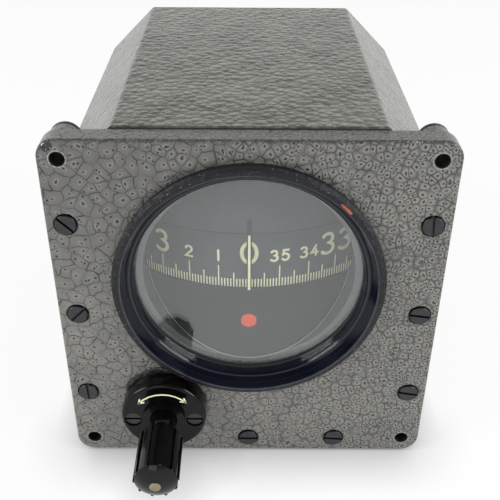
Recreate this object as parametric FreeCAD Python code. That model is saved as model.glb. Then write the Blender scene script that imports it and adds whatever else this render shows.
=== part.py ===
"""Panel-mounted gyrocompass (directional gyro), built piece by piece, in millimetres.

X is to the right seen from the front, Y goes back into the instrument, Z is up.
The origin is the centre of the four corner holes, on the front face of the panel.
"""
import FreeCAD, Part
import math
import os

V = FreeCAD.Vector
X_AXIS = V(1, 0, 0)
Y_AXIS = V(0, 1, 0)
Z_AXIS = V(0, 0, 1)
CUT_OVER = 1.0             # overrun of every cutting tool
RUN_FIT = 0.05             # radial clearance of a shaft that turns or slides in its bore
DRAWN_GAP = 0.3            # gap between parts that face each other and don't touch

# front panel and its corner holes
PANEL_THICK = 7.8
PANEL_CORNER_R = 6.3
PANEL_EDGE_R = 0.9
HOLE_EDGE = 6.5            # from a corner hole's axis to the panel's edges
BUSH_BORE_R = 2.35
BUSH_WALL = 0.6
CORNER_BOSS_R = 5.4
CORNER_BOSS_DEPTH = 6.6
SHIM_THICK = 0.5
NUT_PLATE_THICK = 1.3

# case behind the panel
CASE_WALL = 1.5
CASE_TOP_SPACE = 3.3       # between the upper trunnion and the case's top wall
CASE_REAR_SPACE = 5.2      # between the rear post and the case's rear wall
CASE_PAST_PANEL = 0.8      # the case's top and bottom past the panel's edges
CASE_SIDE_INSET = 2.9      # the case's sides inside the panel's edges
CASE_FOOT_GAP = 1.05       # between the upper bracket's feet and the case's flange, at the chamfers
CASE_CORNER_GAP = 0.47     # between the chamfers and the corner holes' bosses
CASE_BEND_R = 2.2
GASKET_THICK = 1.0
GASKET_INSET = 0.7
GASKET_WIDTH = 5.2
CASE_FLANGE_THICK = 2.2
CASE_FLANGE_WIDTH = 3.6
CASE_BOSS_R = 3.9
CASE_BOSS_LENGTH = 4.2

# slotted screws that hold the panel on the case, in line with the corner holes
PANEL_SCREW_SIDE_IN = 11.1 # from where the case's chamfers start, at its sides
PANEL_SCREW_LOW_IN = 10.4  # the same, along the bottom
PANEL_SCREW_SLOT_TURNS = [45, -45, 88, 86, 8, 10, 0, 4]     # degrees, as each one was left
PANEL_SCREW_HEAD_R = 3.5
PANEL_SCREW_HEAD_PROUD = 0.7
PANEL_SCREW_HEAD_SUNK = 1.5
PANEL_SCREW_SINK_R = 4.0
PANEL_SCREW_SHANK_R = 1.9
PANEL_SCREW_SHORT = 0.5    # how far a screw's end stays inside its boss
SLOT_WIDTH = 0.9
SLOT_DEPTH = 1.1
HEAD_DOME = 0.5            # edge rounding of a cheese head

# window: bezel ring, glass and its gasket
WINDOW_RIM = 6.9           # of the panel above the bezel ring
FLANGE_CLEAR = 1.37        # between the bezel ring and the knob's flange
BEZEL_BASE_IN = 0.5        # this and the next six are measured in from the ring's widest radius
BEZEL_SHOULDER_IN = 1.2
BEZEL_CREST_IN = 2.8
BEZEL_SPIGOT_IN = 4.5
BEZEL_FUNNEL_IN = 4.75
BEZEL_STEP_IN = 5.7
BEZEL_LEDGE_IN = 6.5
BEZEL_SIGHT_IN = 7.1
BEZEL_WIDE_PROUD = 3.1
BEZEL_SHOULDER_PROUD = 4.2
BEZEL_CREST_PROUD = 4.75
BEZEL_FUNNEL_PROUD = 0.6
BEZEL_STEP_SUNK = 0.4
GLASS_SUNK = 3.0           # depth of the glass's front face behind the panel's face
GLASS_THICK = 2.6
GLASS_FIT = 0.2            # radial gap round the glass
SPIGOT_FIT = 0.1           # radial gap round the ring's spigot
LIP_PAST_SIGHT = 0.2
GLASS_GASKET_THICK = 0.7

# card, its drum and the masks in front of it
DRUM_SIDE_GAP = 0.7        # between the drum and the case's side walls
DRUM_REAR_GAP = 1.5        # between the drum and the rear post
DRUM_WALL = 1.2
DRUM_BEHIND_MASK = 5.8     # how far the drum goes on below the lower mask's top
MASK_GAP = 0.5             # between the drum and the sheet in front of it
MASK_THICK = 0.7
MASK_LOWER_DROP = 5.4      # of the lower mask's top below the window's centre
MASK_UPPER_RISE = 16.6     # of the upper mask's edge above the window's centre
FRAME_TUBE_IN = 2.1        # of the tube's bore inside the sight radius
FRAME_TUBE_WALL = 1.0
FRAME_RING_WIDTH = 5.0     # of the ring that lies on the panel's back
FRAME_RING_THICK = 1.2
FRAME_SCREW_COUNT = 6
FRAME_SCREW_R = 1.0
FRAME_SCREW_HEAD_R = 1.8
FRAME_SCREW_HEAD = 1.0
FRAME_SCREW_LENGTH = 4.0
LUBBER_WIDTH = 1.7
LUBBER_THICK = 0.3
LUBBER_GAP = 0.2           # between the strip and the glass
LUBBER_ON_UPPER = 5.5      # the strip's overlap on the upper mask
LUBBER_ON_LOWER = 4.6      # the strip's overlap on the lower mask
MARKER_R = 2.75
MARKER_THICK = 0.35
MARKER_STEM_R = 1.5
MARKER_DROP = 13.3         # below the lower mask's top
MARKER_STEM_LENGTH = 1.0

# caging knob
FLANGE_R = 15.3
FLANGE_THICK = 7.3
FLANGE_EDGE_R = 1.2
FLANGE_HUB_R = 7.6
FLANGE_HUB_PROUD = 1.5
FLANGE_BORE_R = 5.0
FLANGE_SCREW_X = 11.2
FLANGE_SCREW_Z = -1.2
FLANGE_SCREW_HEAD_R = 2.8
FLANGE_SCREW_SINK_R = 3.1
FLANGE_SCREW_SUNK = 0.6
FLANGE_SCREW_HEAD = 1.8
FLANGE_SCREW_SHANK_R = 1.4
FLANGE_SCREW_LENGTH = 13.0
KNOB_TRAVEL = 8.0
KNOB_STOP_GAP = 0.2        # between the pushed knob and the flange's hub
KNOB_LENGTH = 19.5
KNOB_DOME = 2.8
KNOB_R = 7.3
KNOB_RIB_COUNT = 10
KNOB_RIB_PROUD = 0.55
KNOB_RIB_WIDTH = 0.9
KNOB_RIB_PHASE = -5.0      # degrees, turn of the ribs about the knob's axis
KNOB_REAR_EDGE = 1.0
KNOB_NECK_R = 4.7
NECK_STOP_GAP = 0.4        # between the pushed neck and the shaft's bush
KNOB_PIN_R = 1.9
KNOB_PIN_DEPTH = 6.5
PIN_PROUD = 0.1
SHAFT_R = 2.5
SHAFT_TAIL = 0.85
COLLAR_R = 4.2
COLLAR_THICK = 0.9
FRONT_COLLAR_THICK = 0.75
BUSH_SUNK = 1.4
BUSH_R = 5.5
BUSH_REAR_PROUD = 0.4

# gears behind the panel
GEAR_MODULE = 0.85
KNOB_GEAR_TEETH = 48
LAY_GEAR_TEETH = 24
GEAR_FACE = 3.0
GEAR_HOLE_COUNT = 6
GEAR_HOLE_AT_SHARE = 0.62  # of the pitch radius
GEAR_HOLE_R_SHARE = 0.16   # of the pitch radius
PRESSURE_ANGLE = 20.0
BACKLASH = 0.09
ADDENDUM_SHARE = 0.95      # of the module
DEDENDUM_SHARE = 1.25      # of the module
FLANK_STEPS = 6
PINION_MODULE = 0.9
PINION_TEETH = 12
PINION_FACE = 7.0
PINION_TURN = 90           # degrees, which puts a tooth at the top
PINION_REST_GAP = 4.3      # between the pinion and the crown while the knob is out
CROWN_TEETH = 60
CROWN_OUTSIDE = 1.2        # of the teeth, outside the pitch radius
CROWN_INSIDE = 1.8         # of the teeth, inside the pitch radius
CROWN_WEB = 3.775          # thickness above the teeth's roots
CROWN_CLEAR = 0.25         # how much wider a crown gap is than the pinion's tooth
LAY_SHAFT_R = 2.0
LAY_SHAFT_PROUD = 0.6
LAY_COLLAR_R = 3.0
LAY_COLLAR_THICK = 0.95

# slide yoke, its rods, spring and wedge
YOKE_THICK = 2.0
YOKE_BOSS_R = 6.0
YOKE_LAY_BOSS_R = 4.6
YOKE_ROD_BOSS_R = 3.6
ROD_R = 2.0
ROD_LOW_RIGHT = 24.6       # the low rod right of the knob's axis
ROD_LOW_RISE = 9.6         # above the wedge's underside
ROD_LEFT_LEFT = 21.4       # the left rod left of the knob's axis
ROD_LEFT_RISE = 15.3       # above the knob's axis
ROD_HEAD_R = 3.2
ROD_HEAD_THICK = 1.0
ROD_HEAD_CLEAR = 1.0
REAR_BOSS_THICK = 3.6
REAR_ARM_THICK = 1.6
REAR_ARM_HALF_W = 3.0
REAR_ARM_DROP = 4.9        # of the arm's top below the lay shaft
WEDGE_HALF_W = 4.0
WEDGE_FLOOR_GAP = 0.7
WEDGE_ARM_THICK = 2.2
WEDGE_SPARE = 2.0          # ramp left over when the knob is fully pushed
WEDGE_LAND = 4.2
WEDGE_TIP_THICK = 0.1
WEDGE_MID_THICK = 3.0      # of the ramp under the plunger at rest
CAGE_LIFT = 4.0
FOOT_R = 3.0
FOOT_HEIGHT = 2.3
FOOT_GAP = 0.1
PLUNGER_R = 1.9
PLUNGER_SHORT = 0.5        # how far the lifted plunger stays off the tilting housing
SPRING_LENGTH = 15.9
SPRING_WIRE_R = 0.4
SPRING_R = 2.75
SPRING_TURNS = 6
GAP_POINTS_PER_TURN = 48   # where the gap between the turns is measured

# carrying brackets
PLATE_THICK = 4.0
UPPER_FOOT_CLEAR = 1.0     # between a foot's corner and the dial frame's ring
UPPER_FOOT_DROP = 7.0
UPPER_NECK_Y = 44.0
PLATE_HALF_W = 16.0
FOOT_THICK = 3.0
LOWER_ARM_GAP = 8.0        # between the lay gear and the lower bracket's arm
LOWER_ARM_WIDTH = 18.0
LOWER_FOOT_RISE = 6.5
LOWER_HALF_W = 24.0
POST_THICK = 5.0
POST_HALF_W = 10.0
FIX_SCREW_R = 1.5
FIX_SCREW_HEAD_R = 2.75
FIX_SCREW_HEAD = 2.0
FIX_SCREW_LENGTH = 7.0
BEARING_WALL = 4.5

# outer gimbal, which carries the card
HOUSING_SWING_GAP = 0.599  # between the swinging housing and the gimbal's bars
PIVOT_FREE = 13.9          # of each tilt pivot, between its pad and the gimbal
GIMBAL_SIDE = 3.5
GIMBAL_BAR = 4.0
GIMBAL_DEPTH = 12.0
GIMBAL_CORNER_R = 5.0
UPPER_TRUNNION_R = 4.0
UPPER_TRUNNION_PROUD = 0.4
TRUNNION_FLANGE_R = 9.0
TRUNNION_FLANGE = 2.0
LOWER_TRUNNION_R = 5.0
LOWER_TRUNNION_BORE = 2.0
LOWER_TRUNNION_SHORT = 0.1 # of the lower plate's underside
SPIDER_HUB_RISE = 2.0      # from the upper trunnion's flange to the spider's plate
SPIDER_THICK = 1.2
SPIDER_ARMS = 4
SPIDER_ARM_WIDTH = 9.0
SPIDER_RIM = 5.0
SLIP_RING_R = 6.5
SLIP_RING_GROOVE = 0.8
SLIP_RING_COUNT = 4
SLIP_RING_WIDTH = 1.6
SLIP_RING_RISE = 1.0       # of the lowest ring above the upper plate
BRUSH_GAP = 0.08
BRUSH_THICK = 0.5
BRUSH_HALF_H = 0.5
BRUSH_LENGTH = 12.8        # from the rings' axis to the block
BRUSH_BLOCK_DEPTH = 7.0
BRUSH_BLOCK_HALF_W = 9.0
TORQUER_GAP = 0.5
TORQUER_ROTOR_R = 13.0
TORQUER_STATOR_R = 20.0
TORQUER_RISE = 1.4         # above the card's spider
TORQUER_HEIGHT = 6.4
TORQUER_TOP_GAP = 2.0      # between the torquer's rotor and the upper plate

# rotor housing and rotor
HOUSING_R = 24.0
HOUSING_HALF_L = 16.0
HOUSING_CHAMFER = 5.0
HOUSING_WALL = 2.0
HOUSING_SPLIT = 6.5        # behind the tilt axis
PIVOT_R = 3.0
PIVOT_PAD_R = 5.5
PIVOT_PAD_PROUD = 1.6
PIVOT_SHORT = 0.6          # of the gimbal's outer side
TILT_BEARING_R = 5.4
ROTOR_RIM_GAP = 2.0        # between the rotor and the housing's wall
ROTOR_END_GAP = 1.9        # between the rotor and its bearings
ROTOR_RIM = 5.8            # thickness of the rotor's heavy rim
ROTOR_EDGE = 1.25
ROTOR_HUB_R = 6.2
ROTOR_WEB = 4.0
ROTOR_SHAFT_R = 2.5
ROTOR_BEARING_R = 5.0
ROTOR_BEARING_L = 3.6
HOUSING_BOSS_R = 8.0
HOUSING_BOSS_BORE = 6.8
BOSS_END = 1.5
STATOR_GAP = 0.8           # between the stator and the rotor's cavity
STATOR_L = 9.0
STATOR_SLOTS = 12
STATOR_SLOT_WIDTH = 1.2
STATOR_SLOT_DEPTH = 2.6

# rear connector
PLUG_Z = -14.0
PLUG_PLATE_THICK = 2.6
PLUG_PLATE_CORNER_R = 3.0
PLUG_R = 12.0
PLUG_WALL = 1.6
PLUG_LENGTH = 15.0
PLUG_GROOVE_DEPTH = 0.5
PLUG_GROOVE_COUNT = 4
PLUG_SPIGOT_LENGTH = 3.0
PLUG_INSERT_L = 6.0
PLUG_PIN_R = 0.8
PLUG_PIN_L = 6.0
PLUG_PIN_CIRCLE_R = 6.6
PLUG_PIN_COUNT = 8
PLUG_SCREW_PAST = 0.4      # of the screws' places past the barrel's radius, each way
PLUG_SCREW_EDGE = 3.6      # from a screw's axis to the plate's edge
PLUG_SCREW_R = 1.4
PLUG_SCREW_HEAD_R = 2.5
PLUG_SCREW_HEAD = 1.4
PLUG_SCREW_LENGTH = 6.0
PLUG_SLOT_WIDTH = 0.6

# worked out: rotor, and the gimbal that its housing swings in
ROTOR_R = HOUSING_R - HOUSING_WALL - ROTOR_RIM_GAP
ROTOR_HALF_L = HOUSING_HALF_L - HOUSING_WALL - ROTOR_BEARING_L - ROTOR_END_GAP
ROTOR_CAVITY_R = ROTOR_R - ROTOR_RIM
STATOR_R = ROTOR_CAVITY_R - STATOR_GAP
HOUSING_SWEEP_R = math.hypot(HOUSING_R, HOUSING_HALF_L - HOUSING_CHAMFER)
GIMBAL_HALF_W = HOUSING_R + PIVOT_PAD_PROUD + PIVOT_FREE + GIMBAL_SIDE
GIMBAL_HALF_H = HOUSING_SWEEP_R + HOUSING_SWING_GAP + GIMBAL_BAR

# worked out: drum's top, torquer, upper plate and slip rings, from the gimbal up to the case's top
DRUM_Z1 = GIMBAL_HALF_H + TRUNNION_FLANGE + SPIDER_HUB_RISE
TORQUER_Z0 = DRUM_Z1 + SPIDER_THICK + TORQUER_RISE
TORQUER_Z1 = TORQUER_Z0 + TORQUER_HEIGHT
UPPER_PLATE_Z = TORQUER_Z1 + TORQUER_TOP_GAP
UPPER_PLATE_TOP = UPPER_PLATE_Z + PLATE_THICK
SLIP_RING_PITCH = SLIP_RING_WIDTH + SLIP_RING_GROOVE
SLIP_RING_Z = UPPER_PLATE_TOP + SLIP_RING_RISE
SLIP_RING_TOP = SLIP_RING_Z + SLIP_RING_COUNT * SLIP_RING_PITCH
UPPER_TRUNNION_TOP = SLIP_RING_TOP + UPPER_TRUNNION_PROUD
CASE_HALF_H = UPPER_TRUNNION_TOP + CASE_TOP_SPACE + CASE_WALL

# worked out: panel and the case's sides
HALF_PANEL = CASE_HALF_H - CASE_PAST_PANEL
HALF_PITCH = HALF_PANEL - HOLE_EDGE
CASE_HALF_W = HALF_PANEL - CASE_SIDE_INSET
CASE_FRONT_Y = PANEL_THICK + GASKET_THICK
PANEL_SCREW_LENGTH = PANEL_SCREW_HEAD_PROUD + CASE_FRONT_Y + CASE_BOSS_LENGTH - PANEL_SCREW_SHORT

# worked out: the knob's place, from the gears that it turns
PINION_PITCH_R = PINION_MODULE * PINION_TEETH / 2
CROWN_PITCH_R = PINION_MODULE * CROWN_TEETH / 2
CROWN_OUT_R = CROWN_PITCH_R + CROWN_OUTSIDE
CROWN_IN_R = CROWN_PITCH_R - CROWN_INSIDE
CROWN_PITCH_Z = -(GIMBAL_HALF_H + CROWN_WEB + DEDENDUM_SHARE * PINION_MODULE)
LAY_X = 0.0
LAY_Z = CROWN_PITCH_Z - PINION_PITCH_R
KNOB_X = LAY_X - GEAR_MODULE * (KNOB_GEAR_TEETH + LAY_GEAR_TEETH) / 2
KNOB_Z = LAY_Z
LOWER_ARM_X0 = LAY_X + GEAR_MODULE * (LAY_GEAR_TEETH / 2 + ADDENDUM_SHARE) + LOWER_ARM_GAP
LOWER_ARM_X1 = LOWER_ARM_X0 + LOWER_ARM_WIDTH

# worked out: the largest round window between the panel's top rim and the knob's flange
WINDOW_REACH = HALF_PANEL - WINDOW_RIM + FLANGE_R + FLANGE_CLEAR
WINDOW_Z = (WINDOW_REACH ** 2 - KNOB_X ** 2 - KNOB_Z ** 2) / (2 * (WINDOW_REACH - KNOB_Z))
BEZEL_WIDE_R = HALF_PANEL - WINDOW_RIM - WINDOW_Z
BEZEL_BASE_R = BEZEL_WIDE_R - BEZEL_BASE_IN
BEZEL_SHOULDER_R = BEZEL_WIDE_R - BEZEL_SHOULDER_IN
BEZEL_CREST_R = BEZEL_WIDE_R - BEZEL_CREST_IN
BEZEL_SPIGOT_R = BEZEL_WIDE_R - BEZEL_SPIGOT_IN
BEZEL_FUNNEL_R = BEZEL_WIDE_R - BEZEL_FUNNEL_IN
BEZEL_STEP_R = BEZEL_WIDE_R - BEZEL_STEP_IN
BEZEL_LEDGE_R = BEZEL_WIDE_R - BEZEL_LEDGE_IN
SIGHT_R = BEZEL_WIDE_R - BEZEL_SIGHT_IN    # what can be seen through the ring
GLASS_R = BEZEL_SPIGOT_R - GLASS_FIT
PANEL_BORE_R = BEZEL_SPIGOT_R + SPIGOT_FIT
PANEL_LIP_R = SIGHT_R + LIP_PAST_SIGHT
GLASS_BACK_Y = GLASS_SUNK + GLASS_THICK
GASKET_BACK_Y = GLASS_BACK_Y + GLASS_GASKET_THICK

# worked out: masks, lubber line and dial frame, from the window's centre
MASK_LOWER_TOP = WINDOW_Z - MASK_LOWER_DROP
MASK_UPPER_BOTTOM = WINDOW_Z + MASK_UPPER_RISE
DRUM_Z0 = MASK_LOWER_TOP - DRUM_BEHIND_MASK
LUBBER_TOP = MASK_UPPER_BOTTOM + LUBBER_ON_UPPER
LUBBER_BOTTOM = MASK_LOWER_TOP - LUBBER_ON_LOWER
MARKER_Z = MASK_LOWER_TOP - MARKER_DROP
FRAME_TUBE_R = SIGHT_R - FRAME_TUBE_IN
FRAME_RING_R = PANEL_BORE_R + FRAME_RING_WIDTH

# worked out: the case's chamfers leave room for the corner holes' bosses
CASE_CHAMFER = CASE_HALF_W + CASE_HALF_H - 2 * HALF_PITCH + (CORNER_BOSS_R + CASE_CORNER_GAP) * math.sqrt(2)
PANEL_SCREW_SIDE_Z = CASE_HALF_H - CASE_CHAMFER - PANEL_SCREW_SIDE_IN
PANEL_SCREW_LOW_X = CASE_HALF_W - CASE_CHAMFER - PANEL_SCREW_LOW_IN

# worked out: the upper bracket's feet, between the dial frame and the case's chamfers
UPPER_FOOT_Z = UPPER_PLATE_Z - UPPER_FOOT_DROP
UPPER_FOOT_IN_X = math.sqrt((FRAME_RING_R + UPPER_FOOT_CLEAR) ** 2 - (UPPER_FOOT_Z - WINDOW_Z) ** 2)
UPPER_FRONT_HALF_W = (CASE_HALF_W + CASE_HALF_H - CASE_CHAMFER - UPPER_PLATE_TOP
                      - (CASE_WALL + CASE_FLANGE_WIDTH + CASE_FOOT_GAP) * math.sqrt(2))

# worked out: drum, masks and the case's rear
DRUM_R = CASE_HALF_W - CASE_WALL - DRUM_SIDE_GAP
MASK_IN_R = DRUM_R + MASK_GAP
MASK_OUT_R = MASK_IN_R + MASK_THICK
MASK_FRONT_Y = GLASS_BACK_Y + LUBBER_GAP + LUBBER_THICK
DRUM_Y = MASK_FRONT_Y + MASK_OUT_R         # the vertical axis, behind the panel's face
PLATE_REAR_Y = DRUM_Y + DRUM_R + DRUM_REAR_GAP + POST_THICK
CASE_INNER_REAR_Y = PLATE_REAR_Y + CASE_REAR_SPACE
CASE_REAR_Y = CASE_INNER_REAR_Y + CASE_WALL

# worked out: knob and its shaft
KNOB_REAR_Y = -(FLANGE_THICK + FLANGE_HUB_PROUD + KNOB_STOP_GAP + KNOB_TRAVEL)
KNOB_FRONT_Y = KNOB_REAR_Y - KNOB_LENGTH
NECK_END_Y = BUSH_SUNK - NECK_STOP_GAP - KNOB_TRAVEL
SHAFT_FRONT_Y = KNOB_FRONT_Y + KNOB_PIN_DEPTH

# worked out: gears and slide yoke, at rest
GEAR_Y = CASE_FRONT_Y + CASE_FLANGE_THICK + DRAWN_GAP
YOKE_Y = GEAR_Y + GEAR_FACE + FRONT_COLLAR_THICK + RUN_FIT
YOKE_BACK_Y = YOKE_Y + YOKE_THICK
SHAFT_REAR_Y = YOKE_BACK_Y + RUN_FIT + COLLAR_THICK + SHAFT_TAIL
PINION_Y = DRUM_Y - CROWN_OUT_R - PINION_REST_GAP - PINION_FACE
REAR_BOSS_END_Y = PINION_Y - LAY_COLLAR_THICK - RUN_FIT
REAR_BOSS_Y = REAR_BOSS_END_Y - REAR_BOSS_THICK
REAR_ARM_TOP_Z = LAY_Z - REAR_ARM_DROP
ROD_END_Y = YOKE_BACK_Y + SPRING_LENGTH
LOWER_WIDE_Y = ROD_END_Y + ROD_HEAD_THICK + ROD_HEAD_CLEAR

# worked out: wedge, plunger and lower plate, from the case's floor up
WEDGE_SLOPE = CAGE_LIFT / KNOB_TRAVEL
WEDGE_BOTTOM_Z = CASE_WALL + WEDGE_FLOOR_GAP - CASE_HALF_H
WEDGE_MID_Z = WEDGE_BOTTOM_Z + WEDGE_MID_THICK
WEDGE_TOP_Y = DRUM_Y - KNOB_TRAVEL - WEDGE_SPARE
WEDGE_BACK_Y = WEDGE_TOP_Y - WEDGE_LAND
WEDGE_TIP_Y = DRUM_Y + (WEDGE_MID_THICK - WEDGE_TIP_THICK) / WEDGE_SLOPE
FOOT_TOP_Z = WEDGE_MID_Z + FOOT_HEIGHT
PLUNGER_TOP_Z = -(HOUSING_SWEEP_R + PLUNGER_SHORT + CAGE_LIFT)
LOWER_PLATE_Z = FOOT_TOP_Z + CAGE_LIFT + DRAWN_GAP
LOWER_PLATE_TOP = LOWER_PLATE_Z + PLATE_THICK
LOWER_TRUNNION_END = LOWER_PLATE_Z + LOWER_TRUNNION_SHORT
BRUSH_BLOCK_Y = DRUM_Y + BRUSH_LENGTH

# worked out: guide rods and the rear connector
ROD_LOW_X = KNOB_X + ROD_LOW_RIGHT
ROD_LOW_Z = WEDGE_BOTTOM_Z + ROD_LOW_RISE
ROD_LEFT_X = KNOB_X - ROD_LEFT_LEFT
ROD_LEFT_Z = KNOB_Z + ROD_LEFT_RISE
PLUG_BORE_R = PLUG_R - PLUG_WALL
PLUG_SCREW_AT = PLUG_R + PLUG_SCREW_PAST
PLUG_PLATE_HALF = PLUG_SCREW_AT + PLUG_SCREW_EDGE


def box(x0, x1, y0, y1, z0, z1):
    return Part.makeBox(x1 - x0, y1 - y0, z1 - z0, V(x0, y0, z0))


def rod_x(r, x0, x1, y, z):
    return Part.makeCylinder(r, x1 - x0, V(x0, y, z), X_AXIS)


def rod_y(r, y0, y1, x, z):
    return Part.makeCylinder(r, y1 - y0, V(x, y0, z), Y_AXIS)


def rod_z(r, z0, z1, x, y):
    return Part.makeCylinder(r, z1 - z0, V(x, y, z0), Z_AXIS)


def tube_y(r_out, r_in, y0, y1, x, z):
    return rod_y(r_out, y0, y1, x, z).cut(rod_y(r_in, y0 - CUT_OVER, y1 + CUT_OVER, x, z))


def tube_z(r_out, r_in, z0, z1, x, y):
    return rod_z(r_out, z0, z1, x, y).cut(rod_z(r_in, z0 - CUT_OVER, z1 + CUT_OVER, x, y))


def face_of(points):
    return Part.Face(Part.makePolygon(points + [points[0]]))


def turned_y(profile, x, z):
    """Solid of revolution about a line along Y: profile is a list of (radius, y)."""
    face = face_of([V(x + r, y, z) for r, y in profile])
    return face.revolve(V(x, 0, z), Y_AXIS, 360)


def prism_y(points, y0, y1):
    return face_of([V(x, y0, z) for x, z in points]).extrude(V(0, y1 - y0, 0))


def prism_z(points, z0, z1):
    return face_of([V(x, y, z0) for x, y in points]).extrude(V(0, 0, z1 - z0))


def mirrored_x(shape):
    return shape.mirror(V(0, 0, 0), X_AXIS)


def four_corners(shape):
    """Copies of a piece at the upper right corner, one for each corner hole."""
    right = [shape, shape.mirror(V(0, 0, 0), Z_AXIS)]
    return right + [mirrored_x(s) for s in right]


def fillet_edges(shape, radius, wanted):
    chosen = [e for e in shape.Edges if wanted(e)]
    return shape.makeFillet(radius, chosen)


def runs_along_y(edge):
    ends = [v.Point for v in edge.Vertexes]
    return len(ends) == 2 and abs(ends[0].y - ends[1].y) > CUT_OVER


def octagon(inset):
    """Outline of the case's section, drawn inwards by inset."""
    w = CASE_HALF_W - inset
    h = CASE_HALF_H - inset
    c = CASE_CHAMFER - inset * (2 - math.sqrt(2))
    upper = [(w, h - c), (w - c, h), (c - w, h), (-w, h - c)]
    return upper + [(x, -z) for x, z in reversed(upper)]


def panel_screw_places():
    heights = (PANEL_SCREW_SIDE_Z, 0, -PANEL_SCREW_SIDE_Z)
    side = [(x, z) for x in (-HALF_PITCH, HALF_PITCH) for z in heights]
    return side + [(0, -HALF_PITCH), (PANEL_SCREW_LOW_X, -HALF_PITCH)]


def flange_screw_places():
    return [(KNOB_X + s * FLANGE_SCREW_X, KNOB_Z + FLANGE_SCREW_Z) for s in (-1, 1)]


def slotted_screw_y(x, z, head_front, head_r, head_thick, shank_r, length, slot_angle, dome):
    """Screw driven towards +Y, with a slot across its head."""
    head = rod_y(head_r, head_front, head_front + head_thick, x, z)
    if dome:
        head = fillet_edges(head, dome,
                            lambda e: e.CenterOfMass.y < head_front + dome and len(e.Vertexes) == 1)
    shank = rod_y(shank_r, head_front + head_thick, head_front + length, x, z)
    reach = head_r + CUT_OVER
    slot = box(-reach, reach, head_front - CUT_OVER, head_front + SLOT_DEPTH, -SLOT_WIDTH / 2, SLOT_WIDTH / 2)
    slot.rotate(V(0, 0, 0), Y_AXIS, slot_angle)
    slot.translate(V(x, 0, z))
    return head.cut(slot).fuse(shank).removeSplitter()


def make_front_panel():
    h = HALF_PANEL
    plate = box(-h, h, 0, PANEL_THICK, -h, h)
    plate = fillet_edges(plate, PANEL_CORNER_R, runs_along_y)
    plate = fillet_edges(plate, PANEL_EDGE_R, lambda e: e.BoundBox.YMax < PANEL_EDGE_R)
    boss = rod_y(CORNER_BOSS_R, PANEL_THICK, PANEL_THICK + CORNER_BOSS_DEPTH, HALF_PITCH, HALF_PITCH)
    plate = plate.fuse(four_corners(boss))
    bush_r = BUSH_BORE_R + BUSH_WALL
    back = PANEL_THICK + CORNER_BOSS_DEPTH
    cuts = four_corners(rod_y(bush_r, -CUT_OVER, back + CUT_OVER, HALF_PITCH, HALF_PITCH))
    cuts.append(rod_y(PANEL_BORE_R, -CUT_OVER, GASKET_BACK_Y, 0, WINDOW_Z))
    cuts.append(rod_y(PANEL_LIP_R, -CUT_OVER, PANEL_THICK + CUT_OVER, 0, WINDOW_Z))
    for x, z in panel_screw_places():
        cuts.append(rod_y(PANEL_SCREW_SINK_R, -CUT_OVER, PANEL_SCREW_HEAD_SUNK, x, z))
        cuts.append(rod_y(PANEL_SCREW_SHANK_R, -CUT_OVER, PANEL_THICK + CUT_OVER, x, z))
    cuts.append(rod_y(BUSH_R, -CUT_OVER, PANEL_THICK + CUT_OVER, KNOB_X, KNOB_Z))
    for x, z in flange_screw_places():
        depth = FLANGE_SCREW_LENGTH - FLANGE_THICK + FLANGE_SCREW_SUNK
        cuts.append(rod_y(FLANGE_SCREW_SHANK_R, -CUT_OVER, depth, x, z))
    for x, z in guide_rod_places():
        cuts.append(rod_y(ROD_R, PANEL_THICK / 2, PANEL_THICK + CUT_OVER, x, z))
    for x, z in dial_frame_screw_places():
        depth = PANEL_THICK + FRAME_RING_THICK - FRAME_SCREW_LENGTH
        cuts.append(rod_y(FRAME_SCREW_R, depth, PANEL_THICK + CUT_OVER, x, z))
    for x, z in upper_foot_screws() + lower_foot_screws():
        depth = PANEL_THICK + FOOT_THICK - FIX_SCREW_LENGTH
        cuts.append(rod_y(FIX_SCREW_R, depth, PANEL_THICK + CUT_OVER, x, z))
    return plate.cut(cuts)


def make_corner_bushes():
    back = PANEL_THICK + CORNER_BOSS_DEPTH
    one = tube_y(BUSH_BORE_R + BUSH_WALL, BUSH_BORE_R, 0, back, HALF_PITCH, HALF_PITCH)
    return four_corners(one)


def corner_disc(y0, thick):
    return four_corners(tube_y(CORNER_BOSS_R, BUSH_BORE_R, y0, y0 + thick, HALF_PITCH, HALF_PITCH))


def make_corner_shims():
    return corner_disc(PANEL_THICK + CORNER_BOSS_DEPTH, SHIM_THICK)


def make_corner_nut_plates():
    return corner_disc(PANEL_THICK + CORNER_BOSS_DEPTH + SHIM_THICK, NUT_PLATE_THICK)


def make_panel_screws():
    return [slotted_screw_y(x, z, -PANEL_SCREW_HEAD_PROUD, PANEL_SCREW_HEAD_R,
                            PANEL_SCREW_HEAD_PROUD + PANEL_SCREW_HEAD_SUNK, PANEL_SCREW_SHANK_R,
                            PANEL_SCREW_LENGTH, turn, HEAD_DOME)
            for (x, z), turn in zip(panel_screw_places(), PANEL_SCREW_SLOT_TURNS)]


def make_case_gasket():
    outer = prism_y(octagon(GASKET_INSET), PANEL_THICK, CASE_FRONT_Y)
    inner = prism_y(octagon(GASKET_INSET + GASKET_WIDTH), PANEL_THICK - CUT_OVER, CASE_FRONT_Y + CUT_OVER)
    gasket = outer.cut(inner)
    holes = [rod_y(PANEL_SCREW_SHANK_R, PANEL_THICK - CUT_OVER, CASE_FRONT_Y + CUT_OVER, x, z)
             for x, z in panel_screw_places()]
    return gasket.cut(holes)


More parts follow.
